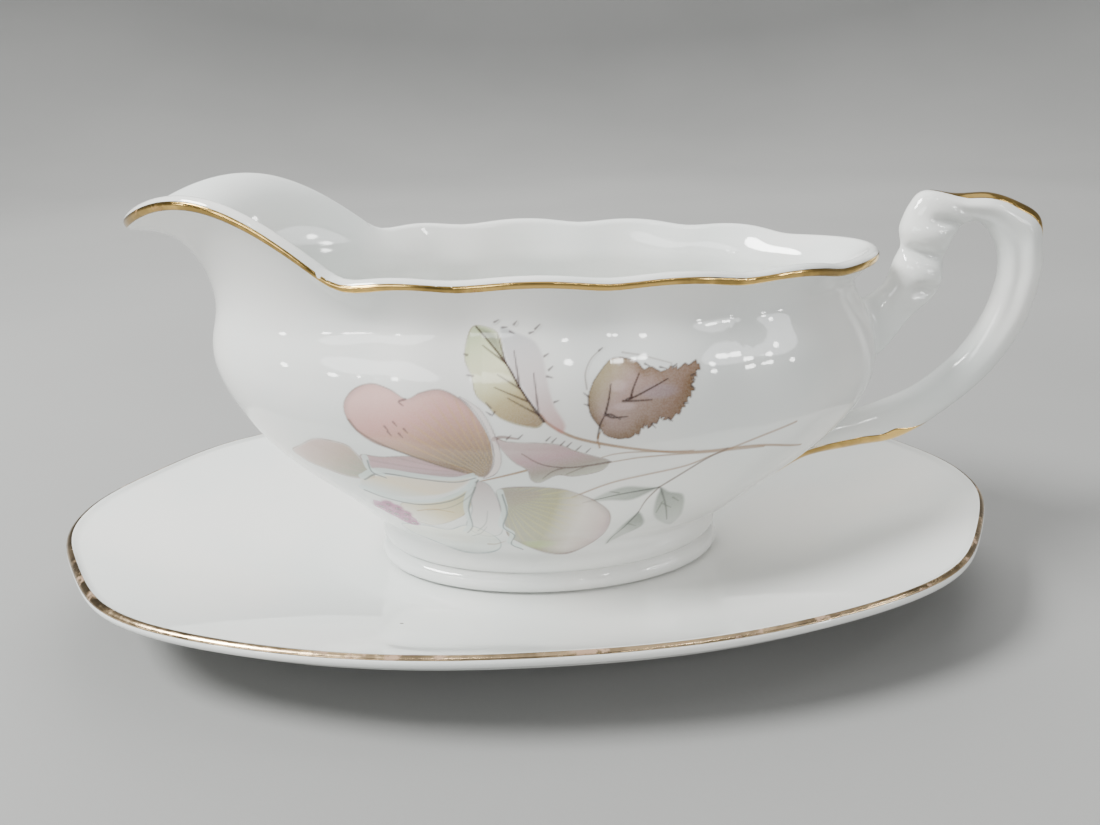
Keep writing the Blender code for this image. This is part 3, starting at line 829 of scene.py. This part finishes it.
def draw_round_leaf(ink):
    """Toothed leaf above the long stems."""
    ink.petal(((9.6, 55.4), (7.6, 58.6), (7.1, 62.0), (7.9, 64.6), (9.0, 66.3), (11.6, 69.1), (13.8, 69.7),
            (17.3, 68.8), (18.9, 67.2), (20.5, 67.6), (22.4, 66.6), (24.5, 67.0), (26.4, 66.6),
            (30.4, 67.4), (29.6, 65.4), (28.9, 64.3), (28.8, 62.0), (27.5, 60.4), (26.4, 58.3),
            (23.8, 56.6), (22.4, 57.2), (20.1, 55.6), (18.6, 55.6), (17.2, 53.9), (14.0, 52.6),
            (10.7, 53.6)), (10, 68), (25, 55),
            ((190, 184, 164), (186, 172, 168), (172, 156, 146), (160, 132, 98)), 0.95,
            edge=(132, 106, 82), edge_width=0.22, rim=((156, 136, 100), 2.8, 0.8), soft=0.2,
            teeth=(44, 0.9, 0.40, 0.92))
    ink.blob((13.4, 64.2), (2.0, 1.3), (208, 198, 198), 0.35)
    ink.blob((14.6, 59.8), (2.6, 0.9), (208, 198, 198), 0.3)
    ink.blob((22.0, 62.6), (4.2, 1.6), (184, 176, 182), 0.4)
    ink.strokes((((9.0, 53.2), (9.5, 56.2), (10.6, 58.4)), ((10.6, 58.4), (11.4, 61.5), (11.9, 64.6)),
            ((10.6, 58.4), (12.0, 58.2), (13.8, 57.1)), ((10.6, 58.4), (12.2, 57.6), (15.2, 57.6)),
            ((15.2, 61.3), (17.2, 61.9), (23.9, 65.0)), ((16.0, 61.6), (16.6, 63.6), (17.9, 66.4)),
            ((14.4, 61.0), (17.0, 60.9), (20.4, 60.9))), 0.5, VEIN, 0.92, 0.4)
    ink.stroke(((6.9, 64.0), (6.7, 67.0), (7.9, 69.6), (9.8, 71.2)), 0.3, STEM_DARK, 0.6)
    ink.stroke(((14.6, 70.6), (18.8, 69.8), (24.8, 68.0)), 0.3, STEM_DARK, 0.5)
    ink.stroke(((9.4, 50.9), (9.0, 53.0), (9.6, 54.6)), 0.4, STEM, 0.8)
    ink.ticks(((7.2, 62.4, -1.0, 0.9), (7.1, 60.6, -0.9, 0.4), (9.8, 71.2, 0.8, 0.5),
            (19.2, 68.2, 1.0, -0.5), (22.3, 67.4, 1.2, -0.3), (28.9, 63.0, 0.9, -0.5),
            (27.3, 59.6, 1.0, -0.2), (24.0, 56.7, 0.9, -0.9), (20.4, 55.6, 0.9, -1.0),
            (29.0, 65.2, 1.1, 0.4), (25.0, 67.2, 1.0, 0.6)), 0.4, VEIN, 0.8, 0.3)


def draw_side_leaf(ink):
    """Narrow leaf that lies across the upper stem."""
    ink.petal(((-12.8, 54.3), (-9.9, 53.3), (-3.1, 52.9), (1.2, 52.2), (4.1, 50.6), (8.9, 48.6), (11.6, 47.2),
            (9.7, 44.8), (4.1, 43.9), (0.4, 44.5), (-3.2, 42.6), (-5.2, 43.4), (-6.0, 46.2), (-8.4, 48.0),
            (-10.6, 50.6)), (0, 53), (2, 43),
            ((192, 172, 172, 0.8), (190, 166, 170), (168, 156, 146), (176, 176, 160, 0.8)), 0.85,
            edge=(160, 144, 132), edge_width=0.16, soft=0.7)
    ink.stroke(((11.8, 47.0), (7.0, 46.5), (2.0, 46.4), (-3.0, 47.6), (-7.0, 50.4)), 0.5, (136, 114, 104),
            0.8, 0.3)
    ink.stroke(((2.0, 46.4), (-0.5, 45.6), (-2.6, 43.8)), 0.4, (140, 124, 112), 0.65, 0.4)
    ink.stroke(((7.0, 46.5), (4.6, 45.6), (2.4, 44.6)), 0.4, (140, 124, 112), 0.6, 0.4)
    ink.stroke(((-12.8, 53.8), (-11.0, 54.4), (-8.0, 54.0)), 0.8, (160, 128, 116), 0.7, 0.5)
    starts = ((-10.0, 53.9), (-7.6, 54.0), (-1.8, 53.4), (-0.6, 53.0), (1.2, 52.2), (2.6, 51.8),
              (4.6, 50.8), (6.6, 50.0))
    ink.ticks([(x, z, 0.9, 0.9) for x, z in starts], 0.38, PLUM, 0.75, 0.4)


def draw_small_leaves(ink):
    for outline, base, tip in (
            (((5.6, 35.6), (7.6, 37.0), (11.7, 39.1), (15.5, 40.1), (19.4, 39.5), (23.0, 38.5), (20.4, 36.6),
              (16.6, 35.1), (11.8, 35.6)), (23.0, 38.5), (6.0, 35.9)),
            (((18.9, 31.4), (20.8, 28.4), (20.9, 25.3), (18.4, 22.6), (12.0, 18.6), (13.6, 23.4), (15.3, 27.1)),
             (18.9, 31.2), (12.6, 19.2)),
            (((23.4, 38.5), (22.1, 33.5), (22.9, 27.8), (27.6, 22.6), (29.8, 25.6), (30.2, 29.4), (29.4, 35.0),
              (25.8, 37.0)), (23.4, 38.2), (26.4, 26.0))):
        ink.petal(outline, base, tip, ((150, 156, 148), (164, 170, 162, 0.85), (180, 184, 178, 0.6)), 0.85,
                  rim=((150, 158, 150), 1.6, 0.4), soft=0.9)
        middle = ((base[0] + tip[0]) / 2 + 0.2, (base[1] + tip[1]) / 2 + 0.4)
        ink.stroke((base, middle, tip), 0.45, (112, 116, 108), 0.75, 0.35)
    ink.strokes((((17.0, 27.0), (18.9, 25.6)), ((24.4, 33.0), (26.6, 31.0)), ((24.2, 33.6), (23.2, 30.0)),
                 ((14.0, 38.0), (12.0, 38.6)), ((26.6, 34.6), (28.2, 33.0))), 0.35, (124, 128, 120), 0.6, 0.4)


def draw_petals(ink):
    """Open rose: the broad petals first, then the heart and the curled edges over them."""
    ink.petal(((-59.0, 45.6), (-56.4, 48.2), (-52.6, 50.9), (-49.0, 51.3), (-44.8, 50.6), (-42.5, 48.2),
            (-39.6, 42.8), (-41.7, 41.4), (-46.0, 41.0), (-49.8, 41.8), (-55.5, 43.1)),
            (-53, 51), (-46, 41), ((200, 180, 176, 0.85), (192, 176, 162, 0.9), (168, 168, 146, 0.9)), 0.88,
            edge=(180, 160, 152), edge_width=0.2, soft=1.2, veins=((-38, 42), 26, (190, 170, 160), 0.4, 20.0))
    ink.petal(((-42.8, 41.4), (-38.4, 43.1), (-30.0, 43.8), (-19.2, 44.1), (-18.6, 42.6), (-23.0, 39.4),
            (-29.1, 37.4), (-38.6, 35.9), (-43.4, 37.4)), (-30, 44), (-32, 36),
            ((212, 204, 192, 0.9), (214, 206, 190), (204, 208, 206, 0.9)), 0.75, soft=0.8)
    ink.petal(((-42.0, 48.2), (-36.9, 48.4), (-29.6, 49.2), (-19.0, 46.6), (-17.4, 44.6), (-22.7, 44.0),
            (-32.2, 43.6), (-39.3, 44.3)), (-30, 49), (-30, 44),
            ((190, 168, 168), (196, 172, 176), (182, 168, 170)), 0.85, edge=(160, 148, 148), edge_width=0.16,
            soft=0.5, veins=((-16, 45), 60, (172, 150, 156), 0.5, 30.0))
    ink.petal(((-15.6, 44.2), (-13.8, 46.0), (-13.0, 49.6), (-13.8, 54.5), (-16.4, 59.6), (-19.6, 62.9),
            (-23.4, 64.7), (-27.4, 64.0), (-30.4, 62.7), (-33.8, 64.4), (-37.7, 65.3), (-41.6, 63.9),
            (-44.1, 60.8), (-43.8, 57.4), (-41.6, 54.2), (-38.2, 51.9), (-32.9, 50.2), (-27.4, 48.2),
            (-21.0, 45.8)), (-29, 65), (-24, 47),
            ((210, 184, 180, 0.85), (206, 180, 176), (192, 170, 156), (168, 152, 126)), 0.9,
            edge=(176, 160, 156), edge_width=0.2, rim=((166, 150, 146), 1.5, 0.45), soft=0.5,
            veins=((-11.5, 42.0), 64, (202, 184, 138), 0.45, 27.0))
    ink.stroke(((-43.4, 57.0), (-41.2, 54.2), (-36.0, 51.4), (-28.0, 48.6), (-19.6, 45.6)), 0.5, (142, 130,
            120), 0.6, 0.8)
    ink.stroke(((-30.6, 62.6), (-32.0, 62.0), (-31.2, 61.2)), 0.45, PLUM, 0.7)
    starts = ((-35.6, 56.2), (-33.6, 57.4), (-31.4, 56.0), (-32.6, 54.8), (-35.0, 55.0))
    ink.ticks([(x, z, 0.7, -0.9) for x, z in starts], 0.45, PLUM, 0.65, 0.4)
    # The curled edge beside the big petal.
    ink.petal(((-19.4, 63.2), (-16.2, 60.0), (-13.6, 54.8), (-12.8, 49.6), (-13.6, 46.0), (-15.4, 43.8),
            (-12.6, 45.2), (-11.3, 49.0), (-12.3, 54.4), (-15.0, 60.2)), (-16, 60), (-13, 45),
            ((208, 200, 198, 0.6), (214, 206, 204)), 0.7, edge=(168, 160, 162), edge_width=0.16, soft=0.25)
    ink.petal(((-12.2, 40.7), (-5.0, 41.4), (0.7, 40.6), (4.2, 39.2), (9.2, 35.8), (12.3, 31.6), (12.0, 25.4),
            (9.4, 20.4), (4.0, 17.8), (-2.0, 18.0), (-7.2, 20.5), (-10.6, 24.6), (-11.4, 30.4), (-12.4,
            36.8)),
            (-8, 33), (12, 28), ((176, 174, 156), (178, 176, 146), (208, 202, 196, 0.75), (202, 190, 190)),
            0.88,
            edge=(166, 152, 146), edge_width=0.2, rim=((172, 166, 160), 2.0, 0.5), soft=0.45,
            veins=((-11.5, 38.0), 44, (200, 194, 146), 0.4, 20.0))
    ink.petal(((-12.0, 40.2), (-4.0, 40.6), (-3.0, 38.2), (-8.8, 35.4), (-12.2, 36.4)), (-8, 41), (-7, 35),
            ((176, 166, 164), (186, 178, 166, 0.5)), 0.6, soft=1.0)
    ink.blob((-3.6, 20.8), (4.2, 1.6), (196, 204, 176), 0.5)
    # Heart of the rose.
    ink.petal(((-34.6, 34.2), (-27.1, 36.3), (-23.2, 38.5), (-18.9, 40.2), (-18.6, 36.0), (-21.3, 31.6),
            (-27.7, 27.4), (-32.5, 28.8)), (-22, 38), (-30, 28),
            ((200, 196, 172), (210, 202, 178), (214, 210, 198, 0.6)), 0.85, edge=(184, 170, 140),
            edge_width=0.16,
            soft=0.6)
    ink.petal(((-18.6, 41.8), (-15.0, 42.6), (-12.6, 38.0), (-11.8, 31.0), (-12.6, 25.4), (-16.6, 24.6),
            (-20.0, 28.4), (-18.4, 34.4)), (-15, 42), (-16, 25),
            ((190, 180, 180), (206, 200, 200, 0.7), (214, 212, 210, 0.5)), 0.75, edge=(172, 176, 178),
            edge_width=0.2, soft=0.4)
    ink.petal(((-36.0, 24.6), (-30.0, 26.4), (-24.5, 26.0), (-19.6, 28.8), (-14.0, 24.6), (-13.0, 19.0),
            (-20.0, 17.4), (-28.0, 18.8), (-33.6, 21.0)), (-24, 26), (-23, 17),
            ((222, 220, 208, 0.7), (206, 212, 210, 0.6)), 0.6, edge=(166, 178, 180), edge_width=0.2, soft=0.8)
    for curl in (((-43.4, 38.0), (-38.6, 36.4), (-31.0, 35.6), (-24.0, 37.6), (-19.4, 40.8), (-17.0, 44.2)),
            ((-42.6, 41.8), (-38.6, 44.4), (-30.0, 44.0), (-22.0, 43.6), (-17.6, 44.8)),
            ((-41.0, 47.8), (-40.4, 44.6), (-37.4, 43.2)),
            ((-17.8, 42.1), (-19.6, 36.0), (-19.2, 29.6), (-20.6, 26.2)),
            ((-12.0, 40.0), (-11.2, 34.6), (-12.2, 29.4), (-9.8, 26.0), (-10.6, 21.6), (-8.0, 19.8))):
        ink.stroke(curl, 1.5, (208, 213, 212), 0.8, 0.6)
        shifted = [(x + 0.5, z - 0.9) for x, z in curl]
        ink.stroke(shifted, 0.4, (152, 158, 158), 0.8, 0.6)
    ink.stroke(((-16.6, 43.4), (-18.4, 39.0), (-23.0, 35.0), (-28.6, 32.8)), 0.35, (150, 150, 146), 0.5, 0.4)
    ink.stroke(((-40.6, 32.6), (-36.6, 30.4), (-32.8, 26.8)), 4.4, (192, 132, 174), 0.75, 0.9)
    for x, z, size in ((-40.0, 31.6, 2.1), (-38.0, 33.2, 1.8), (-36.0, 32.2, 1.8), (-36.8, 29.6, 2.2),
            (-34.2, 30.4, 1.8), (-34.6, 28.0, 2.2), (-32.8, 26.8, 1.7), (-38.4, 30.2, 1.6)):
        ink.blob((x, z), (size, size * 0.85), (184, 102, 160), 0.95)
        ink.blob((x + 0.3, z - 0.3), (size * 0.45, size * 0.35), (146, 64, 122), 0.8)
    ink.stroke(((-31.0, 32.4), (-27.0, 33.6), (-22.6, 33.2)), 0.35, (190, 168, 120), 0.6, 0.4)
    ink.stroke(((-15.6, 20.4), (-13.6, 20.6), (-11.4, 22.0)), 0.4, STEM, 0.6, 0.4)
    ink.stroke(((-17.6, 26.6), (-15.6, 30.0), (-15.0, 34.0)), 0.3, (168, 170, 168), 0.6, 0.4)
    ink.stroke(((-19.0, 24.0), (-17.0, 25.6), (-15.4, 28.6)), 0.3, (168, 170, 168), 0.6, 0.4)
    ink.blob((-22.6, 22.2), (4.6, 2.2), (214, 212, 206), 0.35)


PRINT_COLUMNS = 580
PRINT_ROWS = 380
PRINT_TURN = (3.70, 5.66)           # angles between which the front print lies
PRINT_LIFT = 0.03
INK_CUTOFF = 0.012                  # cover below which the film is left away


def build_print(name, side):
    """Film of ink on the bowl's skin; side is -1 at the front and 1 at the back."""
    t = np.linspace(PRINT_TURN[0], PRINT_TURN[1], PRINT_COLUMNS)
    if side > 0:
        t = t - pi
    grid = outer_skin(t, np.linspace(0.02, 0.94, PRINT_ROWS))
    across, up = np.gradient(grid, axis=1), np.gradient(grid, axis=0)
    outward = unit(np.cross(across, up))
    places = grid[..., [0, 2]].reshape(-1, 2) * (-side, 1)
    ink = Spray(places)
    draw_stems(ink)
    draw_tall_leaf(ink)
    draw_round_leaf(ink)
    draw_side_leaf(ink)
    draw_small_leaves(ink)
    draw_petals(ink)
    faces = np.array(grid_faces(PRINT_ROWS, PRINT_COLUMNS, wrap=False))
    faces = faces[(ink.cover[faces] > INK_CUTOFF).any(1)]
    used, faces = np.unique(faces, return_inverse=True)
    faces = faces.reshape(-1, 4)
    points = (grid + PRINT_LIFT * outward).reshape(-1, 3)[used]
    film = make_piece(name, to_row(points), faces.tolist(), PRINT_GLAZE, "boat")
    layer = film.data.color_attributes.new("ink", "FLOAT_COLOR", "POINT")
    layer.data.foreach_set("color", np.column_stack([ink.colour, ink.cover])[used].ravel())


# ---------------------------------------------------------------- handle
HANDLE_SIDES = 56
HANDLE_ROWS = 200
HANDLE_FINE = 40                    # places per station that the two joints are sought at
FILLET_ROWS = 8
FILLET_SINK = 0.08                  # how far the fillet's foot lies under the bowl's skin
TOP_FILLET = 2.6
TAIL_FILLET = 1.8
# Creases between the knuckles, and swellings where the depth is negative: station, depth,
# length in stations, slant, and how much of it stays on the handle's inner side.
HANDLE_CREASES = (
    (1.75, 0.5, 0.35, 0.25, 0.0),
    (2.55, 2.3, 0.28, 0.45, 1.0),
    (3.20, -0.7, 0.45, 0.2, 0.0),
    (4.05, 2.35, 0.30, 0.15, 0.0),
    (5.05, -0.5, 0.45, 0.2, 0.0),
    (5.90, 1.9, 0.32, 0.35, 0.9),
    (7.40, 0.3, 0.30, 0.25, 0.0),
)
FLUTE = (7.6, 15.5, 0.9)           # first and last station, depth
TOP_RIDGE = (7.6, 12.2)
TOP_JOINT_FROM = 3.2               # stations from which the two joints with the bowl are sought
TAIL_JOINT_FROM = 15.0


def handle_section(place, turn):
    """Points round the handle at a place along it, in stations; turn 0 is its outer edge."""
    stations = np.array(HANDLE_STATIONS)
    knots = np.arange(len(stations), dtype=float)
    outer_x, outer_z, inner_x, inner_z, half_width = smooth_curve(place, knots, stations).T
    middle = np.stack([(outer_x + inner_x) / 2, 0 * outer_x, (outer_z + inner_z) / 2], -1)
    across = np.stack([(outer_x - inner_x) / 2, 0 * outer_x, (outer_z - inner_z) / 2], -1)
    c = np.cos(turn)
    s = np.sin(turn)
    width = half_width * np.ones_like(c)
    for at, depth, length, slant, inner in HANDLE_CREASES:
        share = 1 - inner * smoothstep(-0.35, 0.45, c)
        width = width - depth * share * np.exp(-((place - at + slant * c) / length)**2)
    first, last = TOP_RIDGE
    ridge = window(first - 0.6, first + 0.6, last - 0.8, last + 0.8, place)
    width = width * (1 - ridge * 0.35 * smoothstep(0.2, 1.0, c))
    first, last, depth = FLUTE
    flute = window(first - 0.8, first + 0.8, last - 3.0, last, place)
    width = width - depth * flute * np.exp(-((c + 0.30) / 0.30)**2)
    side = np.sign(s) * np.abs(s)**0.85 * width
    return middle + across * c[..., None] + side[..., None] * np.array([0.0, 1.0, 0.0])


def bowl_tree():
    """Ray tree of the bowl's outer skin, in the boat's own x."""
    t = bowl_angles(360)
    rings = outer_skin(t, np.linspace(0, 1, 90))
    faces = grid_faces(len(rings), len(t))
    return BVHTree.FromPolygons(rings.reshape(-1, 3).tolist(), faces)


def height_above(tree, point):
    """Distance outside the bowl's skin; negative inside."""
    place, normal, _, distance = tree.find_nearest(Vector(point))
    outward = normal if normal.dot(place - Vector((0, 0, place.z))) > 0 else -normal
    return distance if (Vector(point) - place).dot(outward) > 0 else -distance


def joint_of(tree, column, order, radius):
    """Where one line along the handle comes within radius of the skin, and where it meets it."""
    heights = [height_above(tree, column[i]) for i in order]
    last = len(order) - 1
    near = next((k for k, h in enumerate(heights) if h < radius), last)
    hit = next((k for k in range(near, last + 1) if heights[k] < 0), last)
    return order[near], order[hit]


def fillet(tree, columns, middle, ends, radius):
    """Rings that spread from one end of the handle onto the bowl's skin."""
    p = np.linspace(0, 1, FILLET_ROWS + 1)[1:, None]
    rows = []
    for column, (near, hit) in zip(columns, ends):
        start, corner = column[near], column[hit]
        normal = np.array(tree.find_nearest(Vector(corner))[1])
        away = corner - middle[hit]
        away = unit(away - normal * (away @ normal))
        target, out, _, _ = tree.find_nearest(Vector(corner + away * radius))
        target, out = np.array(target), np.array(out)
        if out @ (target - np.array([0, 0, target[2]])) < 0:
            out = -out
        foot = target - out * FILLET_SINK
        rows.append((1 - p)**2 * start + 2 * p * (1 - p) * corner + p**2 * foot)
    return np.stack(rows, 1)


def build_handle():
    tree = bowl_tree()
    turns = (np.arange(HANDLE_SIDES) + 0.5) * 2 * pi / HANDLE_SIDES
    last_station = len(HANDLE_STATIONS) - 1
    fine = np.linspace(0, last_station, HANDLE_FINE * last_station + 1)
    columns = np.stack([handle_section(fine, np.full_like(fine, turn)) for turn in turns])
    middle = columns.mean(0)
    joints = []
    for start, stop, radius in ((TOP_JOINT_FROM, 0, TOP_FILLET),
                                (TAIL_JOINT_FROM, last_station, TAIL_FILLET)):
        count = int(HANDLE_FINE * abs(stop - start) + 1)
        order = [int(i) for i in np.linspace(HANDLE_FINE * start, HANDLE_FINE * stop, count)]
        joints.append(([joint_of(tree, column, order, radius) for column in columns], radius))
    top, tail = joints

    # Each line along the handle runs from its top end to its tail end in even steps.
    body = []
    for turn, (first, _), (last, _) in zip(turns, top[0], tail[0]):
        places = np.linspace(fine[first], fine[last], HANDLE_ROWS)
        body.append(handle_section(places, np.full_like(places, turn)))
    rings = np.concatenate([fillet(tree, columns, middle, *top)[::-1], np.stack(body, 1),
                            fillet(tree, columns, middle, *tail)])
    inside_top = rings[0].mean(0) + np.array([-2.0, 0.0, 0.0])
    inside_tail = rings[-1].mean(0) + np.array([-1.5, 0.0, 1.0])
    caps = to_row((inside_top, inside_tail))
    handle = ring_piece("scroll_handle", to_row(rings), HANDLE_GLAZE, "boat", caps=caps)
    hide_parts("boat_handle")


def build_handle_gilding():
    """Gold along the ridge on top of the handle, and under its tail."""
    for name, first, last, half, seed in (("handle_top_gilding", 7.2, 12.0, 0.78, 21),
                                          ("handle_tail_gilding", 16.2, 20.4, 1.30, 22)):
        place = np.linspace(first, last, 150)
        share = (place - first) / (last - first)
        taper = np.clip(np.minimum(share, 1 - share) * 5, 0.02, 1)**0.7
        wobble = wave(share * 3, seed, (2, 5, 9, 14))
        section = []
        for across, lift in [(a, 0.05) for a in np.linspace(-1, 1, 21)] + [(1.0, -0.12), (-1.0, -0.12)]:
            turn = across * half * taper * (1 + 0.10 * wobble)
            point = handle_section(place, turn)
            around = handle_section(place, turn + 0.01) - handle_section(place, turn - 0.01)
            along = handle_section(place + 0.01, turn) - handle_section(place - 0.01, turn)
            outward = unit(np.cross(along, around))
            outward *= np.sign((outward * (point - handle_section(place, turn + pi))).sum(-1, keepdims=True))
            raise_by = lift if lift < 0 else lift * min(1, 4 * (1 - abs(across)) + 0.1)
            section.append(point + outward * raise_by)
        rings = np.stack(section, 1)
        caps = to_row((rings[0].mean(0), rings[-1].mean(0)))
        ring_piece(name, to_row(rings), RIM_GOLD, "boat", caps=caps)


# ---------------------------------------------------------------- studio
STAGE_FLAT = 1.0                    # metres: radius of the flat part, radius of the curve, top
STAGE_CURVE = 0.9
STAGE_TOP = 2.4
SOFT_WHITE = (1.0, 1.0, 0.98)
LAMP_DISTANCE = 0.95
LAMP_SIZE = 0.055
LAMP_POWER = 0.28
# Small lamps, by angle round the object and angle above the floor, leave sharp sparkles.
LAMPS = ((-71, 13), (-53, 15), (-46, 17), (-22, 60), (15, 34), (36, 54), (49, 15), (50, 21),
         (56, 25), (63, 12), (82, 42))


def area_light(name, place, aim, size, power, colour, shape="RECTANGLE", size_y=None,
               mirrored=True):
    data = bpy.data.lights.new(name, "AREA")
    data.shape = shape
    data.size = size
    if shape != "DISK":
        data.size_y = size_y or size
    data.energy = power
    data.color = colour
    item = bpy.data.objects.new(name, data)
    bpy.context.scene.collection.objects.link(item)
    item.visible_camera = False
    item.visible_glossy = mirrored
    item.location = place
    item.rotation_mode = "QUATERNION"
    item.rotation_quaternion = (Vector(aim) - Vector(place)).to_track_quat("-Z", "Y")


def around(turn, rise, distance):
    """Place at an angle round the object (0 at the front) and an angle above the floor."""
    turn, rise = radians(turn), radians(rise)
    return Vector((sin(turn) * cos(rise), -cos(turn) * cos(rise), sin(rise))) * distance


def build_stage():
    """Pale floor that curves up all round, far from the object, and is open overhead."""
    profile = [(r, 0.0) for r in (0.3, 0.6, STAGE_FLAT)]
    for a in np.linspace(0, pi / 2, 24)[1:]:
        profile.append((STAGE_FLAT + STAGE_CURVE * sin(a), STAGE_CURVE * (1 - cos(a))))
    profile.append((STAGE_FLAT + STAGE_CURVE, STAGE_TOP))
    t = np.linspace(0, 2 * pi, 128, endpoint=False)
    rings = [np.stack([r * np.cos(t), r * np.sin(t), np.full_like(t, z)], -1) / MM for r, z in profile]
    floor = ring_piece("studio_floor", rings, studio_floor(), None, caps=((0.0, 0.0, 0.0),))

    world = bpy.data.worlds.new("studio")
    world.use_nodes = True
    background = world.node_tree.nodes["Background"]
    background.inputs["Color"].default_value = (0.97, 0.99, 1.0, 1.0)
    background.inputs["Strength"].default_value = 0.80
    bpy.context.scene.world = world

    middle = (0.0, 0.0, 0.05)
    area_light("key_softbox", (-0.84, -0.20, 0.95), middle, 0.50, 34.0, (0.985, 1.0, 0.985), "ELLIPSE", 0.40)
    area_light("window_softbox", around(-36, 24, 1.15), middle, 0.85, 3.4, (0.98, 1.0, 1.0), "ELLIPSE", 0.26)
    area_light("fill_softbox", around(60, 24, 1.3), middle, 0.60, 2.4, (0.97, 0.99, 1.0), "ELLIPSE", 0.30)
    area_light("back_softbox", (0.10, 0.95, 0.85), middle, 1.30, 18.0, SOFT_WHITE, size_y=0.70,
               mirrored=False)
    area_light("backdrop_softbox", (0.0, 0.5, 1.7), (0.0, 1.5, 0.3), 1.4, 8.0, SOFT_WHITE, mirrored=False)
    for i, (turn, rise) in enumerate(LAMPS):
        place = around(turn, rise, LAMP_DISTANCE)
        area_light("lamp_%d" % i, place, middle, LAMP_SIZE, LAMP_POWER, SOFT_WHITE, "DISK")


# ---------------------------------------------------------------- camera
CAMERA_TURN = -0.04
CAMERA_RISE = 0.33
CAMERA_ROLL = -0.03
CAMERA_DISTANCE = 255.6
FOCAL_LENGTH = 1000.0 / 1100.0      # in picture widths
CAMERA_AIM = (-0.34, 0.0, -8.25)    # from the middle of the CAD box


def build_camera():
    centre = (np.array(CAD_LOW) + np.array(CAD_HIGH)) / 2 / MM
    aim = centre + np.array(CAMERA_AIM)
    back = np.array([sin(CAMERA_TURN) * cos(CAMERA_RISE), -cos(CAMERA_TURN) * cos(CAMERA_RISE),
                     sin(CAMERA_RISE)])
    right = unit(np.cross(-back, [0.0, 0.0, 1.0]))
    up = np.cross(right, -back)
    r, u = cos(CAMERA_ROLL), sin(CAMERA_ROLL)
    axes = np.stack([r * right + u * up, r * up - u * right, back], 1)
    data = bpy.data.cameras.new("camera")
    data.sensor_width = 36.0
    data.lens = 36.0 * FOCAL_LENGTH
    data.clip_start = 0.01
    data.clip_end = 50.0
    item = bpy.data.objects.new("camera", data)
    bpy.context.scene.collection.objects.link(item)
    item.matrix_world = Matrix.Translation(Vector((aim + back * CAMERA_DISTANCE) * MM)) \
        @ Matrix(axes.tolist()).to_4x4()
    bpy.context.scene.camera = item


build_underplate()
build_bowl()
build_foot()
build_rim_gilding()
build_print("flower_print_front", -1)
build_print("flower_print_back", 1)
build_handle()
build_handle_gilding()
build_stage()
build_camera()
